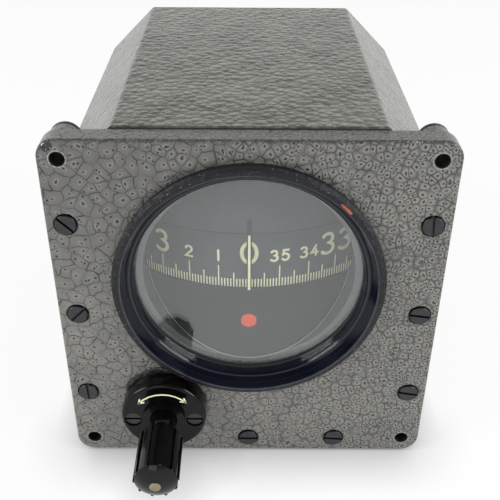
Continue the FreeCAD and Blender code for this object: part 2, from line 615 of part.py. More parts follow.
def make_case_shell():
    outer = prism_y(octagon(0), CASE_FRONT_Y, CASE_REAR_Y)
    outer = fillet_edges(outer, CASE_BEND_R,
                         lambda e: runs_along_y(e) or e.BoundBox.YMin > CASE_INNER_REAR_Y)
    flange_back = CASE_FRONT_Y + CASE_FLANGE_THICK
    inner = prism_y(octagon(CASE_WALL), flange_back, CASE_INNER_REAR_Y)
    mouth = prism_y(octagon(CASE_WALL + CASE_FLANGE_WIDTH), CASE_FRONT_Y - CUT_OVER, flange_back + CUT_OVER)
    shell = outer.cut([inner, mouth])
    bosses = [rod_y(CASE_BOSS_R, CASE_FRONT_Y, CASE_FRONT_Y + CASE_BOSS_LENGTH, x, z)
              for x, z in panel_screw_places()]
    inside = prism_y(octagon(CASE_WALL / 2), CASE_FRONT_Y, CASE_INNER_REAR_Y)
    shell = shell.fuse([b.common(inside) for b in bosses])
    thread = [rod_y(PANEL_SCREW_SHANK_R, CASE_FRONT_Y - CUT_OVER, CASE_REAR_Y / 2, x, z)
              for x, z in panel_screw_places()]
    plug = [rod_y(PLUG_R, CASE_INNER_REAR_Y - CUT_OVER, CASE_REAR_Y + CUT_OVER, 0, PLUG_Z)]
    plug += [rod_y(PLUG_SCREW_R, CASE_INNER_REAR_Y - CUT_OVER, CASE_REAR_Y + CUT_OVER, x, z)
             for x, z in plug_screw_places()]
    return shell.cut(thread + plug).removeSplitter()


def make_bezel_ring():
    profile = [(BEZEL_BASE_R, 0), (BEZEL_WIDE_R, -BEZEL_WIDE_PROUD),
               (BEZEL_SHOULDER_R, -BEZEL_SHOULDER_PROUD), (BEZEL_CREST_R, -BEZEL_CREST_PROUD),
               (BEZEL_FUNNEL_R, -BEZEL_FUNNEL_PROUD), (BEZEL_STEP_R, -BEZEL_FUNNEL_PROUD),
               (BEZEL_STEP_R - BEZEL_STEP_SUNK, BEZEL_STEP_SUNK),
               (BEZEL_LEDGE_R, BEZEL_STEP_SUNK), (SIGHT_R, GLASS_SUNK), (BEZEL_SPIGOT_R, GLASS_SUNK),
               (BEZEL_SPIGOT_R, 0)]
    return turned_y(profile, 0, WINDOW_Z)


def make_window_glass():
    return rod_y(GLASS_R, GLASS_SUNK, GLASS_BACK_Y, 0, WINDOW_Z)


def make_glass_gasket():
    return tube_y(BEZEL_SPIGOT_R, PANEL_LIP_R, GLASS_BACK_Y, GASKET_BACK_Y, 0, WINDOW_Z)


def dial_frame_screw_places():
    r = (FRAME_RING_R + PANEL_BORE_R) / 2
    step = 2 * math.pi / FRAME_SCREW_COUNT
    return [(r * math.cos((i + 1 / 2) * step), WINDOW_Z + r * math.sin((i + 1 / 2) * step))
            for i in range(FRAME_SCREW_COUNT)]


def make_dial_frame():
    back = PANEL_THICK + FRAME_RING_THICK
    ring = tube_y(FRAME_RING_R, FRAME_TUBE_R, PANEL_THICK, back, 0, WINDOW_Z)
    tube = tube_y(FRAME_TUBE_R + FRAME_TUBE_WALL, FRAME_TUBE_R, PANEL_THICK, DRUM_Y / 2, 0, WINDOW_Z)
    clear = rod_z(MASK_IN_R, -CASE_HALF_H, CASE_HALF_H, 0, DRUM_Y)
    holes = [rod_y(FRAME_SCREW_R, PANEL_THICK - CUT_OVER, back + CUT_OVER, x, z)
             for x, z in dial_frame_screw_places()]
    return ring.fuse(tube.cut(clear)).cut(holes)


def make_dial_frame_screws():
    back = PANEL_THICK + FRAME_RING_THICK
    screws = []
    for x, z in dial_frame_screw_places():
        head = rod_y(FRAME_SCREW_HEAD_R, back, back + FRAME_SCREW_HEAD, x, z)
        shank = rod_y(FRAME_SCREW_R, back - FRAME_SCREW_LENGTH, back, x, z)
        screws.append(head.fuse(shank).removeSplitter())
    return screws


def mask_sheet(z0, z1):
    """Part of a cylinder round the drum, cut to the round of the dial frame."""
    sheet = tube_z(MASK_OUT_R, MASK_IN_R, z0, z1, 0, DRUM_Y)
    return sheet.common(rod_y(FRAME_TUBE_R - RUN_FIT, 0, DRUM_Y / 2, 0, WINDOW_Z))


def make_dial_mask_lower():
    sheet = mask_sheet(WINDOW_Z - FRAME_TUBE_R, MASK_LOWER_TOP)
    return sheet.cut(rod_y(MARKER_STEM_R, 0, DRUM_Y / 2, 0, MARKER_Z))


def make_dial_mask_upper():
    return mask_sheet(MASK_UPPER_BOTTOM, WINDOW_Z + FRAME_TUBE_R)


def make_lubber_line():
    half = LUBBER_WIDTH / 2
    front = MASK_FRONT_Y - LUBBER_THICK
    strip = box(-half, half, front, MASK_FRONT_Y, LUBBER_BOTTOM + half, LUBBER_TOP - half)
    ends = [rod_y(half, front, MASK_FRONT_Y, 0, z) for z in (LUBBER_BOTTOM + half, LUBBER_TOP - half)]
    return strip.fuse(ends).removeSplitter()


def make_red_marker():
    disc = rod_y(MARKER_R, MASK_FRONT_Y - MARKER_THICK, MASK_FRONT_Y, 0, MARKER_Z)
    stem = rod_y(MARKER_STEM_R, MASK_FRONT_Y, MASK_FRONT_Y + MARKER_STEM_LENGTH, 0, MARKER_Z)
    return disc.fuse(stem).removeSplitter()


def make_knob_flange():
    body = rod_y(FLANGE_R, -FLANGE_THICK, 0, KNOB_X, KNOB_Z)
    body = fillet_edges(body, FLANGE_EDGE_R,
                        lambda e: e.BoundBox.YMax < -FLANGE_THICK / 2 and len(e.Vertexes) == 1)
    hub = rod_y(FLANGE_HUB_R, -FLANGE_THICK - FLANGE_HUB_PROUD, -FLANGE_THICK, KNOB_X, KNOB_Z)
    hub_front = FLANGE_THICK + FLANGE_HUB_PROUD + CUT_OVER
    cuts = [rod_y(FLANGE_BORE_R, -hub_front, CUT_OVER, KNOB_X, KNOB_Z)]
    for x, z in flange_screw_places():
        depth = FLANGE_SCREW_SUNK + FLANGE_SCREW_HEAD
        cuts.append(rod_y(FLANGE_SCREW_SINK_R, -hub_front, depth - FLANGE_THICK, x, z))
        cuts.append(rod_y(FLANGE_SCREW_SHANK_R, -hub_front, CUT_OVER, x, z))
    return body.fuse(hub).cut(cuts).removeSplitter()


def make_flange_screws():
    front = FLANGE_SCREW_SUNK - FLANGE_THICK
    return [slotted_screw_y(x, z, front, FLANGE_SCREW_HEAD_R, FLANGE_SCREW_HEAD, FLANGE_SCREW_SHANK_R,
                            FLANGE_SCREW_LENGTH, 0, 0)
            for x, z in flange_screw_places()]


def make_shaft_bush():
    return tube_y(BUSH_R, SHAFT_R + RUN_FIT, BUSH_SUNK, PANEL_THICK + BUSH_REAR_PROUD, KNOB_X, KNOB_Z)


def make_knob():
    end = KNOB_FRONT_Y
    sphere_r = (KNOB_R ** 2 + KNOB_DOME ** 2) / (2 * KNOB_DOME)
    body = rod_y(KNOB_R, end - KNOB_DOME, KNOB_REAR_Y, KNOB_X, KNOB_Z)
    ball = Part.makeSphere(sphere_r, V(KNOB_X, end - KNOB_DOME + sphere_r, KNOB_Z))
    long_ball = ball.fuse(rod_y(sphere_r, end - KNOB_DOME + sphere_r, KNOB_REAR_Y + sphere_r, KNOB_X, KNOB_Z))
    body = body.common(long_ball)
    body = body.makeChamfer(KNOB_REAR_EDGE, [e for e in body.Edges
                                             if e.BoundBox.YMin > KNOB_REAR_Y - CUT_OVER / 2])
    half = KNOB_RIB_WIDTH / 2
    rib_rear = KNOB_REAR_Y - KNOB_REAR_EDGE
    one = box(0, KNOB_R + KNOB_RIB_PROUD, end, rib_rear, -half, half)
    ribs = []
    for i in range(KNOB_RIB_COUNT):
        rib = one.copy()
        rib.rotate(V(0, 0, 0), Y_AXIS, KNOB_RIB_PHASE + i * 360 / KNOB_RIB_COUNT)
        rib.translate(V(KNOB_X, 0, KNOB_Z))
        ribs.append(rib)
    neck = rod_y(KNOB_NECK_R, KNOB_REAR_Y, NECK_END_Y, KNOB_X, KNOB_Z)
    knob = body.fuse(ribs + [neck])
    bores = [rod_y(SHAFT_R, SHAFT_FRONT_Y, NECK_END_Y + CUT_OVER, KNOB_X, KNOB_Z),
             rod_y(KNOB_PIN_R, end - KNOB_DOME - CUT_OVER, SHAFT_FRONT_Y + CUT_OVER, KNOB_X, KNOB_Z)]
    return knob.cut(bores).removeSplitter()


def make_knob_pin():
    front = KNOB_FRONT_Y - KNOB_DOME - PIN_PROUD
    return rod_y(KNOB_PIN_R, front, SHAFT_FRONT_Y, KNOB_X, KNOB_Z)


def make_knob_shaft():
    shaft = rod_y(SHAFT_R, SHAFT_FRONT_Y, SHAFT_REAR_Y, KNOB_X, KNOB_Z)
    front_collar = rod_y(COLLAR_R, GEAR_Y + GEAR_FACE, YOKE_Y - RUN_FIT, KNOB_X, KNOB_Z)
    rear_collar = rod_y(COLLAR_R, YOKE_BACK_Y + RUN_FIT, SHAFT_REAR_Y - SHAFT_TAIL, KNOB_X, KNOB_Z)
    return shaft.fuse([front_collar, rear_collar]).removeSplitter()


def involute_outline(teeth, module, thinner):
    """Points of a spur gear's outline, tooth 0 centred on +X; thinner is taken off each tooth's width."""
    pitch_r = module * teeth / 2
    base_r = pitch_r * math.cos(math.radians(PRESSURE_ANGLE))
    tip_r = pitch_r + ADDENDUM_SHARE * module
    root_r = pitch_r - DEDENDUM_SHARE * module
    half_tooth = math.pi / (2 * teeth) - thinner / (2 * pitch_r)

    def roll(r):
        a = math.acos(min(1.0, base_r / r))
        return math.tan(a) - a

    start_r = max(base_r, root_r)
    radii = [start_r + (tip_r - start_r) * i / FLANK_STEPS for i in range(FLANK_STEPS + 1)]
    flank = [(r, half_tooth + roll(pitch_r) - roll(r)) for r in radii]
    points = []
    for t in range(teeth):
        centre = 2 * math.pi * t / teeth
        polar = [(root_r, -flank[0][1])] + [(r, -a) for r, a in flank] + [(r, a) for r, a in reversed(flank)]
        polar.append((root_r, flank[0][1]))
        points += [(r * math.cos(centre + a), r * math.sin(centre + a)) for r, a in polar]
    return points


def spur_gear(teeth, module, y0, face, x, z, turn, bore_r, thinner):
    wheel = prism_y(involute_outline(teeth, module, thinner), 0, face)
    wheel.rotate(V(0, 0, 0), Y_AXIS, turn)
    wheel.translate(V(x, y0, z))
    return wheel.cut(rod_y(bore_r, y0 - CUT_OVER, y0 + face + CUT_OVER, x, z))


def make_knob_gear():
    gear = spur_gear(KNOB_GEAR_TEETH, GEAR_MODULE, GEAR_Y, GEAR_FACE, KNOB_X, KNOB_Z, 0, SHAFT_R, BACKLASH)
    pitch_r = GEAR_MODULE * KNOB_GEAR_TEETH / 2
    at_r = pitch_r * GEAR_HOLE_AT_SHARE
    holes = []
    for i in range(GEAR_HOLE_COUNT):
        a = (i + 1 / 2) * 2 * math.pi / GEAR_HOLE_COUNT
        holes.append(rod_y(pitch_r * GEAR_HOLE_R_SHARE, GEAR_Y - CUT_OVER, GEAR_Y + GEAR_FACE + CUT_OVER,
                           KNOB_X + at_r * math.cos(a), KNOB_Z + at_r * math.sin(a)))
    return gear.cut(holes)


def make_lay_gear():
    half_pitch_turn = 180 / LAY_GEAR_TEETH
    return spur_gear(LAY_GEAR_TEETH, GEAR_MODULE, GEAR_Y, GEAR_FACE, LAY_X, LAY_Z, half_pitch_turn,
                     LAY_SHAFT_R, BACKLASH)


def make_lay_pinion():
    return spur_gear(PINION_TEETH, PINION_MODULE, PINION_Y, PINION_FACE, LAY_X, LAY_Z, PINION_TURN,
                     LAY_SHAFT_R, BACKLASH)


def make_lay_shaft():
    rear_end = PINION_Y + PINION_FACE + LAY_SHAFT_PROUD
    shaft = rod_y(LAY_SHAFT_R, GEAR_Y - LAY_SHAFT_PROUD, rear_end, LAY_X, LAY_Z)
    collars = [rod_y(LAY_COLLAR_R, GEAR_Y + GEAR_FACE, YOKE_Y - RUN_FIT, LAY_X, LAY_Z),
               rod_y(LAY_COLLAR_R, REAR_BOSS_END_Y + RUN_FIT, PINION_Y, LAY_X, LAY_Z)]
    return shaft.fuse(collars).removeSplitter()


def web_between(start, end, y0, y1):
    """Plate between two round bosses (x, z, radius), as wide at each end as the boss there."""
    xa, za, ra = start
    xb, zb, rb = end
    length = math.hypot(xb - xa, zb - za)
    nx = (za - zb) / length
    nz = (xb - xa) / length
    points = [(xa + nx * ra, za + nz * ra), (xb + nx * rb, zb + nz * rb),
              (xb - nx * rb, zb - nz * rb), (xa - nx * ra, za - nz * ra)]
    return prism_y(points, y0, y1)


def yoke_plate():
    """Flat plate with a boss at the knob's shaft, the lay shaft and each guide rod."""
    knob = (KNOB_X, KNOB_Z, YOKE_BOSS_R)
    lay = (LAY_X, LAY_Z, YOKE_LAY_BOSS_R)
    low, left = [(x, z, YOKE_ROD_BOSS_R) for x, z in guide_rod_places()]
    plate = prism_y([(x, z) for x, z, r in (knob, lay, low)], YOKE_Y, YOKE_BACK_Y)
    bosses = [rod_y(r, YOKE_Y, YOKE_BACK_Y, x, z) for x, z, r in (knob, lay, low, left)]
    webs = [web_between(a, b, YOKE_Y, YOKE_BACK_Y)
            for a, b in ((left, knob), (knob, lay), (lay, low), (low, knob))]
    return plate.fuse(bosses + webs)


def ramp_height(y):
    """Height of the caging ramp at rest, where it lies y behind the panel's face."""
    return WEDGE_MID_Z + (DRUM_Y - y) * WEDGE_SLOPE


def caging_wedge():
    """Long arm under the lower plate, with the ramp that lifts the plunger at its end."""
    arm_top = WEDGE_BOTTOM_Z + WEDGE_ARM_THICK
    ramp_top = ramp_height(WEDGE_TOP_Y)
    profile = [(YOKE_Y, WEDGE_BOTTOM_Z), (WEDGE_TIP_Y, WEDGE_BOTTOM_Z),
               (WEDGE_TIP_Y, ramp_height(WEDGE_TIP_Y)), (WEDGE_TOP_Y, ramp_top), (WEDGE_BACK_Y, ramp_top),
               (WEDGE_BACK_Y, arm_top), (YOKE_Y, arm_top)]
    return face_of([V(-WEDGE_HALF_W, y, z) for y, z in profile]).extrude(V(2 * WEDGE_HALF_W, 0, 0))


def make_slide_yoke():
    x0 = LAY_X - REAR_ARM_HALF_W
    x1 = LAY_X + REAR_ARM_HALF_W
    arm_bottom = REAR_ARM_TOP_Z - REAR_ARM_THICK
    arm = box(x0, x1, YOKE_Y, REAR_BOSS_END_Y, arm_bottom, REAR_ARM_TOP_Z)
    rear_boss = rod_y(YOKE_LAY_BOSS_R, REAR_BOSS_Y, REAR_BOSS_END_Y, LAY_X, LAY_Z)
    saddle = box(x0, x1, REAR_BOSS_Y, REAR_BOSS_END_Y, arm_bottom, LAY_Z)
    down = box(-WEDGE_HALF_W, WEDGE_HALF_W, YOKE_Y, YOKE_BACK_Y, WEDGE_BOTTOM_Z, ROD_LOW_Z)
    yoke = yoke_plate().fuse([arm, rear_boss, saddle, caging_wedge(), down])
    front = YOKE_Y - CUT_OVER
    bores = [rod_y(SHAFT_R + RUN_FIT, front, YOKE_BACK_Y + CUT_OVER, KNOB_X, KNOB_Z),
             rod_y(LAY_SHAFT_R + RUN_FIT, front, REAR_BOSS_END_Y + CUT_OVER, LAY_X, LAY_Z)]
    bores += [rod_y(ROD_R + RUN_FIT, front, YOKE_BACK_Y + CUT_OVER, x, z) for x, z in guide_rod_places()]
    return yoke.cut(bores).removeSplitter()


def guide_rod_places():
    """The two rods lie on opposite sides of the knob's shaft."""
    return [(ROD_LOW_X, ROD_LOW_Z), (ROD_LEFT_X, ROD_LEFT_Z)]


def make_guide_rods():
    rods = []
    for x, z in guide_rod_places():
        rod = rod_y(ROD_R, PANEL_THICK / 2, ROD_END_Y, x, z)
        head = rod_y(ROD_HEAD_R, ROD_END_Y, ROD_END_Y + ROD_HEAD_THICK, x, z)
        rods.append(rod.fuse(head).removeSplitter())
    return rods


def corner_arc(start, corner, end):
    """Arc that touches both runs of a corner, which are equally long."""
    weight = math.cos((corner - start).getAngle(end - corner) / 2)
    middle = (start + end + corner * (2 * weight)) * (1 / (2 + 2 * weight))
    return Part.Arc(start, middle, end).toShape()


def biarc(start, start_along, end, end_along):
    """Two arcs that join smoothly, leaving start and reaching end along unit directions."""
    reach = end - start
    a = 2 * (1 - start_along.dot(end_along))
    b = 2 * reach.dot(start_along + end_along)
    run = (math.sqrt(b * b + 4 * a * reach.dot(reach)) - b) / (2 * a)
    first = start + start_along * run
    second = end - end_along * run
    middle = (first + second) * (1 / 2)
    return [corner_arc(start, first, middle), corner_arc(middle, second, end)]


def coil_path(radius, rise, turns):
    """Helix about Z, drawn as two tangent arcs for each quarter turn."""
    quarters = 4 * turns
    slope = rise / (2 * math.pi * radius * turns)
    places = []
    for i in range(quarters + 1):
        a = math.pi / 2 * i
        along = V(-math.sin(a), math.cos(a), slope)
        along.normalize()
        places.append((V(radius * math.cos(a), radius * math.sin(a), rise * i / quarters), along))
    edges = []
    for here, there in zip(places, places[1:]):
        edges += biarc(*here, *there)
    return Part.Wire(edges), places[0][1]


def least_gap(path, turns, wire_r):
    """Smallest space between a coil's wire and its own other turns, measured on points."""
    step = GAP_POINTS_PER_TURN
    points = path.discretize(step * turns + 1)
    return min(p.distanceToPoint(q) for i, p in enumerate(points) for q in points[i + step // 2:]) - 2 * wire_r


def make_return_spring():
    """Coil on the low rod, between the yoke and the rod's head."""
    rise = SPRING_LENGTH - 2 * SPRING_WIRE_R
    path, along = coil_path(SPRING_R, rise, SPRING_TURNS)
    section = Part.Wire([Part.Circle(V(SPRING_R, 0, 0), along, SPRING_WIRE_R).toShape()])
    coil = path.makePipeShell([section], True, False)
    share = coil.Volume / (math.pi * SPRING_WIRE_R ** 2 * path.Length)
    gap = least_gap(path, SPRING_TURNS, SPRING_WIRE_R)
    print(f"return_spring: least gap {gap:.2f} mm, volume {share:.4f} of section times length")
    coil.rotate(V(0, 0, 0), X_AXIS, -90)
    coil.translate(V(ROD_LOW_X, YOKE_BACK_Y + SPRING_WIRE_R, ROD_LOW_Z))
    return coil


def crown_gap(tip_z, root_z):
    """The space between two teeth of the crown, on the side that faces the panel."""
    half = math.pi * PINION_MODULE / 4 + CROWN_CLEAR / 2
    slope = math.tan(math.radians(PRESSURE_ANGLE))
    low = half + (CROWN_PITCH_Z - tip_z) * slope
    high = half - (root_z - CROWN_PITCH_Z) * slope
    outline = [(-low, tip_z - CUT_OVER), (low, tip_z - CUT_OVER), (low, tip_z), (high, root_z),
               (-high, root_z), (-low, tip_z)]
    return prism_y(outline, DRUM_Y - CROWN_OUT_R - CUT_OVER, DRUM_Y - CROWN_IN_R + CUT_OVER)


def make_crown_gear():
    tip_z = CROWN_PITCH_Z - ADDENDUM_SHARE * PINION_MODULE
    root_z = CROWN_PITCH_Z + DEDENDUM_SHARE * PINION_MODULE
    top_z = -GIMBAL_HALF_H
    ring = tube_z(CROWN_OUT_R, CROWN_IN_R, tip_z, root_z, 0, DRUM_Y)
    gap = crown_gap(tip_z, root_z)
    gaps = []
    for i in range(CROWN_TEETH):
        one = gap.copy()
        one.rotate(V(0, DRUM_Y, 0), Z_AXIS, i * 360 / CROWN_TEETH)
        gaps.append(one)
    teeth = ring.cut(gaps)
    web = tube_z(CROWN_OUT_R, LOWER_TRUNNION_R, root_z, top_z, 0, DRUM_Y)
    return web.fuse(teeth).removeSplitter()


def make_cage_plunger():
    rod = rod_z(PLUNGER_R, FOOT_TOP_Z, PLUNGER_TOP_Z, 0, DRUM_Y)
    foot = rod_z(FOOT_R, WEDGE_BOTTOM_Z, FOOT_TOP_Z, 0, DRUM_Y)
    y0 = DRUM_Y - FOOT_R - CUT_OVER
    y1 = DRUM_Y + FOOT_R + CUT_OVER
    reach = FOOT_R + CUT_OVER
    under = [V(-reach, y0, ramp_height(y0) + FOOT_GAP), V(-reach, y1, ramp_height(y1) + FOOT_GAP),
             V(-reach, y1, WEDGE_BOTTOM_Z - CUT_OVER), V(-reach, y0, WEDGE_BOTTOM_Z - CUT_OVER)]
    foot = foot.cut(face_of(under).extrude(V(2 * reach, 0, 0)))
    return rod.fuse(foot).removeSplitter()


def upper_foot_screws():
    x = (UPPER_FOOT_IN_X + UPPER_FRONT_HALF_W) / 2
    z = UPPER_PLATE_Z - UPPER_FOOT_DROP / 2
    return [(-x, z), (x, z)]


def lower_foot_screws():
    z = LOWER_PLATE_TOP + LOWER_FOOT_RISE / 2
    inset = FIX_SCREW_HEAD_R + DRAWN_GAP
    return [(LOWER_ARM_X0 + inset, z), (LOWER_ARM_X1 - inset, z)]


def post_screws():
    y = PLATE_REAR_Y - POST_THICK / 2
    return [(s * POST_HALF_W / 2, y) for s in (-1, 1)]


def make_upper_bracket():
    w = UPPER_FRONT_HALF_W
    foot_back = PANEL_THICK + FOOT_THICK
    right = [(w, foot_back), (w, foot_back + FOOT_THICK), (PLATE_HALF_W, UPPER_NECK_Y),
             (PLATE_HALF_W, PLATE_REAR_Y)]
    outline = right + [(-x, y) for x, y in reversed(right)]
    plate = prism_z(outline, UPPER_PLATE_Z, UPPER_PLATE_TOP)
    foot = box(UPPER_FOOT_IN_X, w, PANEL_THICK, foot_back, UPPER_FOOT_Z, UPPER_PLATE_TOP)
    bracket = plate.fuse([foot, mirrored_x(foot)])
    bearing_r = UPPER_TRUNNION_R + RUN_FIT + BEARING_WALL
    cuts = [rod_z(bearing_r, UPPER_PLATE_Z - CUT_OVER, UPPER_PLATE_TOP + CUT_OVER, 0, DRUM_Y)]
    cuts += [rod_y(FIX_SCREW_R, PANEL_THICK - CUT_OVER, PANEL_THICK + FOOT_THICK + CUT_OVER, x, z)
             for x, z in upper_foot_screws()]
    cuts += [rod_z(FIX_SCREW_R, UPPER_PLATE_Z - CUT_OVER, UPPER_PLATE_TOP + CUT_OVER, x, y)
             for x, y in post_screws()]
    return bracket.cut(cuts).removeSplitter()


def make_lower_bracket():
    front = PANEL_THICK
    outline = [(LOWER_ARM_X0, front), (LOWER_ARM_X1, front), (LOWER_ARM_X1, LOWER_WIDE_Y),
               (LOWER_HALF_W, DRUM_Y), (PLATE_HALF_W, PLATE_REAR_Y), (-PLATE_HALF_W, PLATE_REAR_Y),
               (-LOWER_HALF_W, DRUM_Y), (-LOWER_HALF_W, LOWER_WIDE_Y), (LOWER_ARM_X0, LOWER_WIDE_Y)]
    plate = prism_z(outline, LOWER_PLATE_Z, LOWER_PLATE_TOP)
    foot_top = LOWER_PLATE_TOP + LOWER_FOOT_RISE
    foot = box(LOWER_ARM_X0, LOWER_ARM_X1, front, front + FOOT_THICK, LOWER_PLATE_Z, foot_top)
    bracket = plate.fuse(foot)
    bearing_r = LOWER_TRUNNION_R + RUN_FIT + BEARING_WALL
    cuts = [rod_z(bearing_r, LOWER_PLATE_Z - CUT_OVER, LOWER_PLATE_TOP + CUT_OVER, 0, DRUM_Y)]
    cuts += [rod_y(FIX_SCREW_R, front - CUT_OVER, front + FOOT_THICK + CUT_OVER, x, z)
             for x, z in lower_foot_screws()]
    cuts += [rod_z(FIX_SCREW_R, LOWER_PLATE_Z - CUT_OVER, LOWER_PLATE_TOP + CUT_OVER, x, y)
             for x, y in post_screws()]
    return bracket.cut(cuts).removeSplitter()


def make_rear_post():
    post = box(-POST_HALF_W, POST_HALF_W, PLATE_REAR_Y - POST_THICK, PLATE_REAR_Y,
               LOWER_PLATE_TOP, UPPER_PLATE_Z)
    depth = FIX_SCREW_LENGTH - PLATE_THICK
    holes = []
    for x, y in post_screws():
        holes.append(rod_z(FIX_SCREW_R, UPPER_PLATE_Z - depth, UPPER_PLATE_Z + CUT_OVER, x, y))
        holes.append(rod_z(FIX_SCREW_R, LOWER_PLATE_TOP - CUT_OVER, LOWER_PLATE_TOP + depth, x, y))
    return post.cut(holes)


def make_frame_screws():
    screws = []
    back = PANEL_THICK + FOOT_THICK
    for x, z in upper_foot_screws() + lower_foot_screws():
        head = rod_y(FIX_SCREW_HEAD_R, back, back + FIX_SCREW_HEAD, x, z)
        screws.append(head.fuse(rod_y(FIX_SCREW_R, back - FIX_SCREW_LENGTH, back, x, z)))
    for x, y in post_screws():
        top = UPPER_PLATE_TOP
        head = rod_z(FIX_SCREW_HEAD_R, top, top + FIX_SCREW_HEAD, x, y)
        screws.append(head.fuse(rod_z(FIX_SCREW_R, top - FIX_SCREW_LENGTH, top, x, y)))
        low = LOWER_PLATE_Z
        head = rod_z(FIX_SCREW_HEAD_R, low - FIX_SCREW_HEAD, low, x, y)
        screws.append(head.fuse(rod_z(FIX_SCREW_R, low, low + FIX_SCREW_LENGTH, x, y)))
    return [s.removeSplitter() for s in screws]


def make_upper_bearing():
    bore = UPPER_TRUNNION_R + RUN_FIT
    return tube_z(bore + BEARING_WALL, bore, UPPER_PLATE_Z, UPPER_PLATE_TOP, 0, DRUM_Y)


def make_lower_bearing():
    bore = LOWER_TRUNNION_R + RUN_FIT
    return tube_z(bore + BEARING_WALL, bore, LOWER_PLATE_Z, LOWER_PLATE_TOP, 0, DRUM_Y)


def make_outer_gimbal():
    w, h, d = GIMBAL_HALF_W, GIMBAL_HALF_H, GIMBAL_DEPTH / 2
    outer = box(-w, w, DRUM_Y - d, DRUM_Y + d, -h, h)
    outer = fillet_edges(outer, GIMBAL_CORNER_R, runs_along_y)
    wi = w - GIMBAL_SIDE
    hi = h - GIMBAL_BAR
    inner = box(-wi, wi, DRUM_Y - d - CUT_OVER, DRUM_Y + d + CUT_OVER, -hi, hi)
    ring = outer.cut(inner)
    bearing = rod_x(TILT_BEARING_R, -w - CUT_OVER, w + CUT_OVER, DRUM_Y, 0)
    plunger = rod_z(PLUNGER_R + RUN_FIT, -h - CUT_OVER, CUT_OVER - hi, 0, DRUM_Y)
    return ring.cut([bearing, plunger])


def make_tilt_bearings():
    inner = GIMBAL_HALF_W - GIMBAL_SIDE
    outer = rod_x(TILT_BEARING_R, inner, GIMBAL_HALF_W, DRUM_Y, 0)
    ring = outer.cut(rod_x(PIVOT_R + RUN_FIT, inner - CUT_OVER, GIMBAL_HALF_W + CUT_OVER, DRUM_Y, 0))
    return [ring, mirrored_x(ring)]


def make_upper_trunnion():
    flange = rod_z(TRUNNION_FLANGE_R, GIMBAL_HALF_H, GIMBAL_HALF_H + TRUNNION_FLANGE, 0, DRUM_Y)
    shaft = rod_z(UPPER_TRUNNION_R, GIMBAL_HALF_H + TRUNNION_FLANGE, UPPER_TRUNNION_TOP, 0, DRUM_Y)
    return flange.fuse(shaft).removeSplitter()


def make_lower_trunnion():
    return tube_z(LOWER_TRUNNION_R, LOWER_TRUNNION_BORE, LOWER_TRUNNION_END, -GIMBAL_HALF_H, 0, DRUM_Y)


def make_card_spider():
    z0 = DRUM_Z1
    z1 = DRUM_Z1 + SPIDER_THICK
    rim = tube_z(DRUM_R, DRUM_R - DRUM_WALL - SPIDER_RIM, z0, z1, 0, DRUM_Y)
    hub = rod_z(TRUNNION_FLANGE_R, GIMBAL_HALF_H + TRUNNION_FLANGE, z1, 0, DRUM_Y)
    arms = []
    half = SPIDER_ARM_WIDTH / 2
    for i in range(SPIDER_ARMS):
        arm = box(0, DRUM_R - DRUM_WALL, -half, half, z0, z1)
        arm.rotate(V(0, 0, 0), Z_AXIS, (i + 1 / 2) * 360 / SPIDER_ARMS)
        arm.translate(V(0, DRUM_Y, 0))
        arms.append(arm)
    spider = rim.fuse(arms + [hub])
    bore = rod_z(UPPER_TRUNNION_R, 0, z1 + CUT_OVER, 0, DRUM_Y)
    return spider.cut(bore).removeSplitter()


def make_card_drum():
    return tube_z(DRUM_R, DRUM_R - DRUM_WALL, DRUM_Z0, DRUM_Z1, 0, DRUM_Y)


def make_slip_rings():
    core = tube_z(SLIP_RING_R - SLIP_RING_GROOVE, UPPER_TRUNNION_R, SLIP_RING_Z, SLIP_RING_TOP, 0, DRUM_Y)
    bands = []
    for i in range(SLIP_RING_COUNT):
        z = SLIP_RING_Z + i * SLIP_RING_PITCH
        bands.append(tube_z(SLIP_RING_R, UPPER_TRUNNION_R, z, z + SLIP_RING_WIDTH, 0, DRUM_Y))
    return core.fuse(bands).removeSplitter()


def make_brush_block():
    return box(-BRUSH_BLOCK_HALF_W, BRUSH_BLOCK_HALF_W, BRUSH_BLOCK_Y, BRUSH_BLOCK_Y + BRUSH_BLOCK_DEPTH,
               UPPER_PLATE_TOP, SLIP_RING_TOP)


def make_brushes():
    """Pairs of flat springs, one each side of every slip ring, held in the block."""
    x0 = SLIP_RING_R + BRUSH_GAP
    brushes = []
    for i in range(SLIP_RING_COUNT):
        z = SLIP_RING_Z + i * SLIP_RING_PITCH + SLIP_RING_WIDTH / 2
        blade = box(x0, x0 + BRUSH_THICK, DRUM_Y - SLIP_RING_R / 2, BRUSH_BLOCK_Y,
                    z - BRUSH_HALF_H, z + BRUSH_HALF_H)
        brushes += [blade, mirrored_x(blade)]
    return brushes


def make_torquer_stator():
    ring = tube_z(TORQUER_STATOR_R, TORQUER_ROTOR_R + TORQUER_GAP, TORQUER_Z0, UPPER_PLATE_Z, 0, DRUM_Y)
    relief = rod_z(TORQUER_ROTOR_R + 2 * TORQUER_GAP, TORQUER_Z1, UPPER_PLATE_Z + CUT_OVER, 0, DRUM_Y)
    return ring.cut(relief)


def make_torquer_rotor():
    return tube_z(TORQUER_ROTOR_R, UPPER_TRUNNION_R, TORQUER_Z0, TORQUER_Z1, 0, DRUM_Y)


def housing_profile(inset):
    r = HOUSING_R - inset
    half = HOUSING_HALF_L - inset
    c = HOUSING_CHAMFER - inset * (2 - math.sqrt(2))
    return [(0, DRUM_Y - half), (r - c, DRUM_Y - half), (r, DRUM_Y - half + c), (r, DRUM_Y + half - c),
            (r - c, DRUM_Y + half), (0, DRUM_Y + half)]


def housing_whole():
    return turned_y(housing_profile(0), 0, 0).cut(turned_y(housing_profile(HOUSING_WALL), 0, 0))


